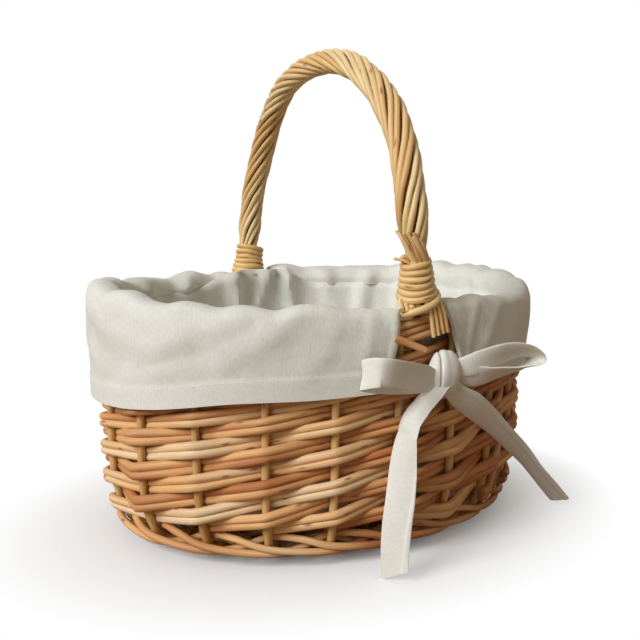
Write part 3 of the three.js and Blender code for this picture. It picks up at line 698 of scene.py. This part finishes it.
make_band("base_edge_band", stake_angles, EDGE_INSET, BASE_MIDDLE, 3, 1, "pale_willow")
stick_angles = [tau * k / STICK_ENDS for k in range(STICK_ENDS)]
for phase, slot in enumerate(("buff_willow", "dark_willow")):
    band_inset = STICK_REACH + BAND_WIDTH * (0.5 + phase)
    make_band(f"base_band_{phase + 1}", stick_angles, band_inset, CROWN_MIDDLE, 5, phase, slot)
make_slath()


# ---- The handle

foot_angle = stake_angles[0] + CORE_TURN
wall_stops = [wall_place(foot_angle, z, 0)[0] for z in (27, CORNER_TOP, 100, BORDER_TOP - 2)]
arch_stops = []
for k in range(9):
    turn = radians(16 + 148 * k / 8)
    power = 2 / ARCH_FULLNESS
    reach = abs(cos(turn)) ** power * copysign(1, cos(turn))
    height = ARCH_FOOT + ARCH_RISE * sin(turn) ** power
    arch_stops.append(np.array([ARCH_SKEW * reach, -ARCH_HALF_WIDTH * reach, height]))
back_stops = [p * np.array([-1, -1, 1]) for p in reversed(wall_stops)]
axis_line = smooth(wall_stops + arch_stops + back_stops, 120)
# The arch leans a little to the right between its feet and its crown
axis_line[:, 0] += np.interp(axis_line[:, 2], [212, 240, 262, 290], [0, 2.4, 2.4, 0.8])
axis_line[:, 2] += np.interp(axis_line[:, 2], [250, 290], [0, 1.2])
axis_far = lengths_along(axis_line)
AXIS_LENGTH = axis_far[-1]


def on_axis(far):
    """Places on the handle's axis, its run there, and the directions aside and out of the arch."""
    run = unit(between(far, axis_far, np.gradient(axis_line, axis_far, axis=0)))
    aside = square_to(ALONG_X, run)
    return between(far, axis_far, axis_line), run, aside, np.cross(run, aside)


def axis_height(z):
    first = axis_line[: len(axis_line) // 2, 2]
    return float(np.interp(z, first, axis_far[: len(first)]))


STRAND_START = axis_height(148)
STRAND_LENGTH = AXIS_LENGTH - 2 * STRAND_START
BIND_TOP = axis_height(177) - STRAND_START
BIND_BOTTOM = BIND_TOP - WINDING_PITCH * WINDING_TURNS
ROPE_FULL = BIND_TOP + 24
BOUND_RADIUS = (5 * FOOT_RADIUS * 4 + 5 * 2 * CLEARANCE) / tau


def from_foot(far, *stops):
    """A size that changes in straight runs up from either foot."""
    near = np.minimum(far, STRAND_LENGTH - far)
    return np.interp(near, [s[0] for s in stops], [s[1] for s in stops])


def on_rope(far):
    """The same by the distance from the start of the rope's rods."""
    return on_axis(STRAND_START + far)


def rope_size(far, *stops):
    # The rods keep more of their thickness down to the far foot
    far = np.where(far > STRAND_LENGTH / 2, np.minimum(far, STRAND_LENGTH) - 14, far)
    return from_foot(far, *stops)


def rod_size(far):
    return rope_size(far, (0, FOOT_RADIUS), (BIND_TOP, FOOT_RADIUS), (ROPE_FULL, STRAND_RADIUS))


def ring_size(far):
    """How far the rods' middles stand off the rope's axis."""
    crown = 1.2 * np.exp(-(((far - STRAND_LENGTH / 2) / 75) ** 2))
    stops = ((0, 8.1), (BIND_BOTTOM, 7.4), (BIND_TOP, BOUND_RADIUS), (ROPE_FULL, ROPE_RADIUS - 0.2))
    return rope_size(far, *stops) - crown


def make_core():
    far = np.linspace(0, AXIS_LENGTH, 160)
    at, _, aside, _ = on_axis(far)
    slim, full = BOUND_RADIUS - FOOT_RADIUS - CLEARANCE, CORE_RADIUS + 0.8
    size = from_foot(far - STRAND_START, (-20, 2.1), (BIND_TOP, slim), (ROPE_FULL, full))
    finish([rod(at, aside, size, 0.8, sides=14)], "handle_core", "dark_willow", core_willow)


def make_strand_pair(index):
    parts = []
    tone = chance.uniform(0.15, 0.6)
    for half in (-1, 1):
        far = np.linspace(0, STRAND_LENGTH, 240)
        at, run, aside, out = on_rope(far)
        seed = index * 2 + (half + 1) / 2
        turn = (tau * index / 5 + tau * far / STRAND_LAY)[:, None]
        ring = ring_size(far) + wander(at, 0.35, 30, seed)
        lead = aside * np.cos(turn) + out * np.sin(turn)
        beside = np.cross(run, lead)
        way = unit(run + beside * (tau * ring / STRAND_LAY)[:, None])
        sizes = rod_size(far)
        line = at + lead * ring[:, None] + np.cross(way, lead) * (half * 0.94 * sizes)[:, None]
        # Rods outside the rim run down over the border, the others are cut above it
        for _ in ("near foot", "far foot"):
            line, lead, sizes = line[::-1], lead[::-1], sizes[::-1]
            foot = line[-1]
            if abs(foot[1]) > HALF_WIDTH + WALL_FACE - 1.5:
                y = copysign(max(abs(foot[1]), HALF_WIDTH + WALL_FACE + 2.0), foot[1])
                end = np.array([foot[0], y, 146.0 + 4 * chance.random()])
                below = smooth([foot, (end + foot) / 2 + (0, 0, 1), end], 8)[1:]
                line = np.vstack([line, below])
                lead = np.vstack([lead, np.repeat(lead[-1:], len(below), axis=0)])
                sizes = np.append(sizes, np.full(len(below), FOOT_RADIUS * 1.15))
        sizes = sizes * chance.uniform(0.94, 1.05) + wander(line, 0.12, 70, seed + 20)
        parts.append(rod(line, lead, sizes, tone + 0.08 * half))
    finish(parts, f"handle_strands_{index + 1}", "rope_willow")


def make_winding(name, turned):
    """One rod in close turns down the foot, then slanting across its front."""
    slant = 0.45
    turns = np.arange(0, round((WINDING_TURNS + slant) * 24) + 1) / 24
    extra = np.maximum(0, turns - WINDING_TURNS) / slant
    over = np.clip(2 * (turns - WINDING_TURNS) + 1, 0, 1)
    drop = 3.7 * np.minimum(turns, WINDING_TURNS - 0.5) - 1.5 * over + 2 * WINDING_DROP * extra
    angle = (pi - tau * turns)[:, None]
    # The far one sits lower and spreads more, and leans to the right
    far = STRAND_LENGTH - BIND_TOP + 6 + drop if turned else BIND_TOP + 1.5 - drop
    spread = turned * (1.2 + 2.2 * turns / turns[-1])
    at, _, aside, out = on_rope(far)
    round_it = aside * np.cos(angle) + out * np.sin(angle)
    ring = ring_size(far) + rod_size(far) + WINDING_RADIUS + 0.2
    ring = ring + spread + 1.8 * over + 1.2 * extra**2
    sway = 1.5 * turned * ALONG_X + UP * (0.3 * np.sin(3 * angle + turns[:, None]))
    line = at + round_it * ring[:, None] + sway
    radius = 1.86 + 0.2 * turns / turns[-1] + wander(line, 0.12, 14, 8)
    winding = rod(line, round_it, radius, 0.3, sides=14)
    set_tone_by_place(winding, 0.0, 0.5, 12)
    finish([winding], name, "rope_willow")


# The cut ends of the rope's rods over the near winding: how far aside each starts, its length, its
# lean to the left, its radius and its tone
TIPS = [
    (6.6, 13, 0.34, 1.1, 0.35), (5.2, 16, 0.38, 1.25, 0.62), (3.8, 14, 0.40, 1.0, 0.2),
    (2.2, 16, 0.42, 1.2, 0.5), (0.6, 15, 0.46, 1.0, 0.75), (-0.9, 17, 0.50, 1.15, 0.4),
    (-2.4, 12, 0.40, 0.9, 0.15),
]


def make_tips():
    """Cut ends of the rope's rods: a bundle that leans to the left over the near foot's front."""
    aside, front = np.array([0.9, -0.436, 0.0]), np.array([-0.436, -0.9, 0.0])
    parts = []
    for k, (start, long, lean, size, tone) in enumerate(TIPS):
        rise = np.linspace(-5, long, 24)
        far = BIND_TOP + rise
        over = start - lean * np.maximum(rise, 0)
        ring = ring_size(far) + rod_size(far) + size + 0.1 + 0.03 * np.maximum(rise, 0)
        out = np.sqrt(np.maximum(ring**2 - over**2, 0.6 * ring))
        line = on_rope(far)[0] + aside * over[:, None] + front * out[:, None]
        line = line + wander(line, 0.3, 12, k)[:, None] * aside
        parts.append(rod(line, front, size * np.linspace(1.05, 0.9, len(line)), tone))
    foot = on_rope(np.array([BIND_TOP - 2.0]))[0][0]
    stub = ((-3, 6.2, 0), (-7, 6.4, 2.2), (-12.5, 5.0, 3.4))
    stub = [foot + aside * u + front * v + UP * h for u, v, h in stub]
    parts.append(rod(smooth(stub, 6), UP, 0.8, 0.45))
    # Four cut rods under the winding, and five behind them in the shade, given the darkest tone as
    # painted shade to fill the gap there
    for k, low in enumerate((150.2, 148.7, 150.7, 151.7)):
        x = -4.6 + 3.7 * k
        bent = [(0.45 * x + 5, -106.5, 157.5), (0.8 * x + 1.6, -110.8, 153.8), (x, -116, low)]
        parts.append(rod(smooth(bent, 6), front, 1.75, 0.05 + 0.08 * k))
    for x in np.arange(5) * 3.4 - 1:
        bent = [(0.6 * x + 2.6, -108.5, 159), (0.85 * x + 1.4, -110.2, 154), (x + 0.5, -112, 147.5)]
        parts.append(rod(smooth(bent, 6), front, 1.9, 0.95))
    # Four rods of the rope go on down over the border, side by side
    for k in range(4):
        low = (14.6 + 3.0 * k, -119.6, 134.6 + 0.8 * k)
        bent = [(7 + 2.3 * k, -114.5, 160), (11.6 + 2.9 * k, -118.4, 151), low]
        parts.append(rod(smooth(bent, 8), front, 1.25, 0.35 + 0.1 * k))
    finish(parts, "foot_tips", "rope_willow")


make_core()
for number in range(5):
    make_strand_pair(number)
make_winding("handle_winding_near", False)
make_winding("handle_winding_far", True)
make_tips()


# ---- The liner

BAG_FACE = WALL_FACE + 0.5
CUFF_TOP, HEM_AT_FOOT, HEM_AT_END = 153.5, 105.0, 91.0
HEM_DEPTH, STITCH = 13.0, 4.2


def cloth_noise(x, y, z=0.0):
    return noise.noise(Vector((x, y, z)))


# Folds on the inner side, gathered up to the rim: degrees round the oval at the rim and 40 mm
# lower, how far the fold stands in, and half its width in degrees
INNER_FOLDS = [
    (160, 166, 5.0, 4.0), (140, 136, 5.0, 3.6), (119, 123, 4.5, 3.2), (103, 101, 6.0, 2.4),
    (86, 95, 5.5, 1.8), (83, 80, 6.5, 2.2), (69, 64, 5.0, 3.2), (52, 55, 6.5, 3.2),
    (36, 40, 5.0, 3.2), (20, 16, 5.0, 4.0), (0, -6, 5.0, 4.5),
]


def inner_fold(angle, z):
    """How far the folds bring the cloth in from the wall there."""
    turn = (degrees(angle) + 180) % 360 - 180
    most = 0.0
    for top, low, height, wide in INNER_FOLDS:
        middle = np.interp(z, [115, 155], [low, top])
        most = max(most, height * exp(-(((turn - middle) / wide) ** 2)))
    return most * float(np.interp(z, [40, 100, 148, 160], [0, 1, 0.8, 0.3]))


def make_bag():
    """The bag follows the wall and slumps on the base, in soft folds that fade to the floor."""
    floor = CROWN_MIDDLE + WALL_FACE + CLEARANCE + 0.4
    wall_stops = ((floor + 8, 3), (45, 3), (90, 3.5), (BORDER_TOP - 2, 1.2))
    profile = smooth(
        [
            (HALF_WIDTH - 4, floor, 0),
            (CORNER_INSET + 50, floor, 0),
            (CORNER_INSET + 20, floor, 0),
            (CORNER_INSET + 6, floor + 1.2, 0),
            *((inset_at(z) + BAG_FACE + out, z, 0) for z, out in wall_stops),
        ],
        10,
    )[:, :2]
    around = 220
    places = np.zeros((around + 1, len(profile), 3))
    for i in range(around + 1):
        angle = tau * (i % around) / around
        across, deep = cos(angle), sin(angle)
        # Behind the far foot of the handle the edge stands up as high as the cuffs
        back = exp(-(((degrees(angle) - 94) / 17) ** 4))
        for j, (inset, z) in enumerate(profile):
            high = min(1, max(0, (z - floor) / 120))
            fold = abs(cloth_noise(5.2 * across, 5.2 * deep, 0.004 * z))
            fold += 0.5 * abs(cloth_noise(11 * across + 4, 11 * deep, 0.01 * z))
            pull = 7.0 * fold * (0.35 + 0.65 * sin(pi * min(1, high + 0.08))) + inner_fold(angle, z)
            slump = 1.2 * abs(cloth_noise(angle * 3, inset / 14, 3)) if high < 0.05 else 0
            behind = back * min(1, max(0, (z - 108) / 35)) ** 2
            # At the ends the cloth lies against the wall
            close = 2.4 * across**4 * (0.05 < high < 0.7)
            drawn_in = inset + pull * (high > 0.02) + 4.4 * behind - close
            places[i, j] = oval(angle, drawn_in, z + slump + 13 * behind)
    uv = uv_grid(np.linspace(0, 790, around + 1)[:, None], lengths_along(profile))
    bag = shaped_grid(places, uv, closed=True)
    # A face closes the bag's floor
    for kind in (bag.data.vertices, bag.data.edges, bag.data.polygons):
        kind.foreach_set("select", [False] * len(kind))
    for vertex in bag.data.vertices:
        x, y, z = vertex.co / MM
        edge = abs(hypot(x / (HALF_LENGTH - HALF_WIDTH + 4), y / 4) - 1) < 0.02
        vertex.select = edge and z < floor + 3
    bpy.ops.object.mode_set(mode="EDIT")
    bpy.ops.mesh.select_mode(type="VERT")
    bpy.ops.mesh.edge_face_add()
    bpy.ops.object.mode_set(mode="OBJECT")
    thicken(bag, 0.9)
    finish([bag], "liner_bag", "linen")


# How much higher the crest of the cuffs stands round the oval: degrees and millimetres
CREST = [
    (-180, 8.5), (-165, 5), (-150, 1.5), (-132, 1), (-120, -0.5), (-112, 1.5), (-104, -2),
    (-97, -2.5), (-92, 0.5), (-80, 2), (-60, -1.5), (-45, -1), (-30, 0), (-12, 3), (5, 7), (21, 7),
    (35, 6), (48, 3.5), (62, 1.5), (75, 3.5), (86, 5.5), (100, 1), (110, 1), (126, -1.5), (140, 2),
    (165, 8.5), (180, 8.5),
]
# Soft folds that stand out of the cuffs: from and to, as mm along the oval from the near foot and
# height, then how far the fold stands out and half its width
FOLDS = [
    (36, 116, 47, 146, 1.0, 4), (46, 108, 70, 146, 1.1, 5.5), (58, 106, 104, 138, 1.0, 7),
    (112, 108, 120, 146, 0.9, 8), (-22, 150, -26, 118, 0.6, 3.5), (-36, 150, -52, 120, 0.8, 6.5),
    (-66, 146, -96, 124, 1.1, 7), (-96, 148, -140, 128, 1.3, 7), (-112, 120, -150, 112, 0.8, 6),
    (-150, 130, -196, 148, 1.3, 7.5), (-186, 118, -240, 138, 1.1, 8),
]
oval_turns = np.linspace(-1.5 * pi, 0.5 * pi, 1441)
oval_far = lengths_along(np.array([oval(a, 0, 0) for a in oval_turns]))
oval_far = oval_far - np.interp(-pi / 2, oval_turns, oval_far)


def fold_height(angle, z):
    """How far the folds lift a cuff's cloth there."""
    if angle > pi / 2:
        angle -= tau
    place = np.array([np.interp(angle, oval_turns, oval_far), z])
    most = 0.0
    for x0, z0, x1, z1, height, wide in FOLDS:
        start, run = np.array([x0, z0]), np.array([x1 - x0, z1 - z0])
        share = float(np.clip((place - start) @ run / (run @ run), -0.15, 1.15))
        off = np.linalg.norm(place - start - share * run)
        most = max(most, height * exp(-((off / wide) ** 2)) * min(1, 1.3 - abs(share - 0.5)))
    return most


def cuff_profile(angle, share):
    """The cuff's cut line at an angle: points out of the stake line and up, from inside over to the
    hem. share is how far along the cuff that is, from 0 to 1."""
    hem = HEM_AT_FOOT - (HEM_AT_FOOT - HEM_AT_END) * abs(cos(angle)) ** 3
    hem += 1.2 * cloth_noise(angle * 3.1, 1.7)
    puff = 1.3 + 2.0 * cloth_noise(angle * 2.6, 5.3) + 1.6 * cloth_noise(angle * 6.7, 2.2)
    puff = max(0, puff) + 0.3
    turn = degrees(angle)
    turn = turn - 360 if turn > 180 else turn
    crest = CUFF_TOP - 1.0 + float(np.interp(turn, *zip(*CREST)))
    crest += 2.2 * cloth_noise(angle * 4.1, 8.1) + 2.4 * cloth_noise(angle * 9.3, 4.4)
    # Pressed flat beside the far foot of the handle, and a little at each edge
    flat = exp(-abs(turn - 90) / 3.5) if 75 < turn < 105 else 0.0
    crest -= 1.6 * exp(-min(share, 1 - share) / 0.02) + 3.6 * flat
    inner, outer = 4 * flat - WALL_FACE - 2.7, WALL_FACE + 1.2
    return [
        (inner + 0.6, BORDER_TOP - 3, 0),
        (inner + 0.2, crest - 7, 0),
        (inner / 2 - 0.4, crest - 1.4, 0),
        (outer / 3, crest, 0),
        (outer - 1.2, crest - 2.2, 0),
        (outer + 0.6 * puff, crest - 8, 0),
        (outer + 0.9 * puff, crest - 20, 0),
        (outer + 0.5 * puff, (crest + hem) / 2 - 4, 0),
        (outer + 0.3, hem + 13, 0),
        (outer + 0.2, hem, 0),
    ]


def make_cuff(name, start, end):
    """A cuff between two angles, with a hem, its row of stitches and a slanting near edge."""
    steps, rows = 280, 9 * 8 + 1
    span = (end - start) * HALF_LENGTH
    places = np.zeros((steps + 1, rows, 3))
    uv = np.zeros((steps + 1, rows, 2))
    for i in range(steps + 1):
        # The grid is closer near the cuff's two edges
        share = i / steps - 0.7 * sin(tau * i / steps) / tau
        angle = start + (end - start) * share
        profile = smooth(cuff_profile(angle, share), 8)[:, :2]
        uv[i, :, 1] = lengths_along(profile)
        edge = min(share, 1 - share) * span
        rim = 0.6 / (1 + exp((edge - 4.5) / 0.5)) - 1.8 * exp(-((edge / 1.1) ** 2))
        # The two edges beside the near foot's slot slant
        near_slot = max(0, 1 - (share if start < 0 else 1 - share) * span / 40) ** 2
        slant = [20.4, 8.4, 3.2] if start < 0 else [-3.6, 2.6, 4.2]
        for j, (offset, z) in enumerate(profile):
            down = j / (rows - 1)
            outside = min(1, max(0, (down - 0.35) / 0.15))
            crease = fold_height(angle, z)
            crease += 0.7 * abs(cloth_noise(angle * 9 + z * 0.045, z * 0.03, 7))
            crease += 0.24 * cloth_noise(angle * 18, z * 0.13, 3)
            crease += 0.05 * cloth_noise(angle * 40, z * 0.3, 9) + rim
            above = z - profile[-1][1]
            quiet = 1 - 0.8 * exp(-((above - 5) ** 2) / 90)
            # The hem is two layers, a little thicker than the cloth above it
            double = 0.7 / (1 + exp((above - 12.5) / 0.5))
            turned = angle + near_slot * float(np.interp(z, [104, 136, 150], slant)) / HALF_LENGTH
            inward = inner_fold(angle, z) * min(1, max(0, (0.3 - down) / 0.1)) * min(1, edge / 12)
            out = offset - inward + outside * (quiet * crease + double)
            places[i, j] = oval(turned, 0, z) + outward(turned) * out
    hem_far = lengths_along(places[:, -1])
    uv[:, :, 0] = hem_far[:, None]
    cuff = shaped_grid(places, uv)
    thicken(cuff, 1.1)
    bpy.ops.object.shade_smooth_by_angle(angle=radians(60))
    finish([cuff], name, "linen")
    # The stitches are in the row of the grid that lies on the hem's upper fold
    row = [k for k in range(rows) if abs(places[0, k, 2] - places[0, -1, 2] - HEM_DEPTH) < 1.6][-1]
    seam = places[:, row]
    seam_far = lengths_along(seam)
    stitches = []
    for k in range(int(seam_far[-1] / STITCH)):
        spots = np.linspace((k + 0.14) * STITCH, (k + 0.86) * STITCH, 4)
        line = between(spots, seam_far, seam)
        out = unit(line * np.array([1 / HALF_LENGTH**2, 1 / HALF_WIDTH**2, 0]))
        line = line + out * np.array([0.35, 0.6, 0.6, 0.35])[:, None]
        stitches.append(rod(line, out, 0.16, 0.0, sides=5))
    thread = finish(stitches, name, "linen", stitch_thread, trim="stitches")


def slot_edge(x):
    return asin(x / (HALF_LENGTH + WALL_FACE))


make_bag()
QUARTER = pi / 2
WIDE, NARROW = slot_edge(23), slot_edge(9)
make_cuff("cuff_right", -QUARTER + WIDE, QUARTER - NARROW)
make_cuff("cuff_left", QUARTER + WIDE, 3 * QUARTER - NARROW)


# ---- The bow


LEFT_LOOP = [
    KNOT + (-4.8, -2.0, -5.8), (7, -128.2, 112.6), (-9, -133.5, 117.2), (-24, -136.6, 121.2),
    (-28.6, -135.2, 121.6), (-31.2, -128.5, 120), (-32.4, -123.4, 118), (-28, -121.4, 116),
    (-12, -121.4, 113.2), (3, -122.4, 112.6), KNOT + (-4.6, 0.2, -2.5),
]
RIGHT_LOOP = [
    KNOT + (4.8, -2.0, -0.5), (35.5, -129.8, 119.2), (47, -133.6, 123.6), (59, -134.0, 125.0),
    (69, -133.6, 123.8), (75.5, -132.6, 120.2), (73, -131.6, 116.4), (66, -130.6, 113.6),
    (54, -129.4, 112.2), (40, -127.6, 111.2), KNOT + (4.8, -1.0, -3),
]
LEFT_LOOP_WAYS = [(0, 0, 1), (0, -0.25, 1), (0.1, -0.1, 1), (0.15, 0.25, 1), (0, 0.3, 1)]
RIGHT_LOOP_WAYS = [
    (0, -0.2, 1), (0, -0.5, 0.86), (0.1, -0.97, 0.15), (0, -0.88, 0.48), (0, -0.3, 1),
]


def make_loop(name, points, ways, thickness):
    line = smooth(points, 10)
    widths = gathered_width(lengths_along(line), True) * 0.94
    loop = ribbon(line, ways, widths, thickness=thickness, cup=0.3)
    finish([loop], name, "ribbon")


def make_knot():
    """The ribbon drawn tight round the loops' ends, in two turns with creases along them."""
    knot = added(bpy.ops.mesh.primitive_uv_sphere_add, segments=96, ring_count=64, radius=1)
    for vertex in knot.data.vertices:
        x, y, z = vertex.co
        # The sphere's poles go to the knot's two sides, where the loops come out
        turn = atan2(y, x)
        round_it = hypot(x, y)
        side = z + 0.12 * sin(turn)
        groove = 0.17 * exp(-(((side + 0.42) / 0.07) ** 2))
        crease = 0.08 * cloth_noise(side * 2.2, turn * 0.5, 1) - groove
        full = round_it**0.5 * (1 + crease) if round_it > 1e-6 else 0
        vertex.co = (
            (KNOT[0] - 1.2 + 8.9 * z + 1.2 * cos(turn + 1.2) * full) * MM,
            (KNOT[1] - 0.8 - 7.6 * full * sin(turn)) * MM,
            (KNOT[2] - 2.3 + 12.8 * full * cos(turn)) * MM,
        )
    settle()
    bpy.ops.object.shade_smooth()
    layer = knot.data.uv_layers[0].data
    layer.foreach_set("uv", (read(layer, "uv", 2) * np.array([0.05, 0.014])).ravel())
    finish([knot], "bow_knot", "ribbon")


make_loop("bow_loop_left", LEFT_LOOP, LEFT_LOOP_WAYS, 1.6)
make_loop("bow_loop_right", RIGHT_LOOP, RIGHT_LOOP_WAYS, 1.9)
make_knot()


# ---- Floor and light


def make_stage():
    """A paper floor, white to the camera but for a soft shadow, and a pale fill from all sides."""
    floor = added(bpy.ops.mesh.primitive_plane_add, size=8)
    floor.name = "floor"
    material, tree, shader = new_material("matt_white_paper", "#f4f4f2", 0.9)
    seen = put(tree, "LightPath")["Is Camera Ray"]
    paper = blend(tree, seen, linear("#947b62"), linear("#f8f8f8"))
    wire(tree, shader, {"Base Color": paper})
    # The paper is at its whitest away from the basket, which stands in its own shadow
    place = put(tree, "NewGeometry")["Position"]
    oval_place = put(tree, "VectorMath", {0: place, 1: (7.1, 9.3, 0)}, operation="MULTIPLY")[0]
    away = put(tree, "VectorMath", {0: oval_place}, operation="LENGTH")["Value"]
    open_paper = put(tree, "MapRange", {0: away, 1: 0.75, 2: 1.6, 3: 0.0, 4: 1.0})[0]
    share = reckon(tree, "MULTIPLY", seen, open_paper)
    white = put(tree, "Emission", {"Color": (1, 1, 1, 1), "Strength": 1.0})[0]
    mixed = put(tree, "MixShader", {0: share, 1: shader.outputs[0], 2: white})[0]
    wire(tree, tree.nodes["Material Output"], {"Surface": mixed})
    floor.data.materials.append(material)
    world = bpy.data.worlds.new("studio")
    world.use_nodes = True
    bpy.context.scene.world = world
    tree = world.node_tree
    tree.nodes.clear()
    path = put(tree, "LightPath")
    seen = reckon(tree, "MAXIMUM", path["Is Camera Ray"], path["Is Glossy Ray"])
    fill = put(tree, "Background", {"Color": linear("#fdf0d6"), "Strength": 0.26})
    white = put(tree, "Background", {"Color": (1, 1, 1, 1), "Strength": 1.0})
    mixed = put(tree, "MixShader", {0: seen, 1: fill[0], 2: white[0]})
    put(tree, "OutputWorld", {"Surface": mixed[0]})


def lamp(name, toward, power, softness, colour):
    """A lamp far off in a direction, whose softness is the angle that it fills, in degrees."""
    made = added(bpy.ops.object.light_add, type="SUN", location=toward)
    made.name = name
    made.data.energy = power
    made.data.angle = radians(softness)
    made.data.color = linear(colour)[:3]
    made.rotation_euler = Vector(toward).to_track_quat("Z", "Y").to_euler()


make_stage()
lamp("window_left", (-1.0, -0.3, 0.66), 2.85, 28, "#f6faff")

bpy.context.scene.view_settings.view_transform = "Standard"
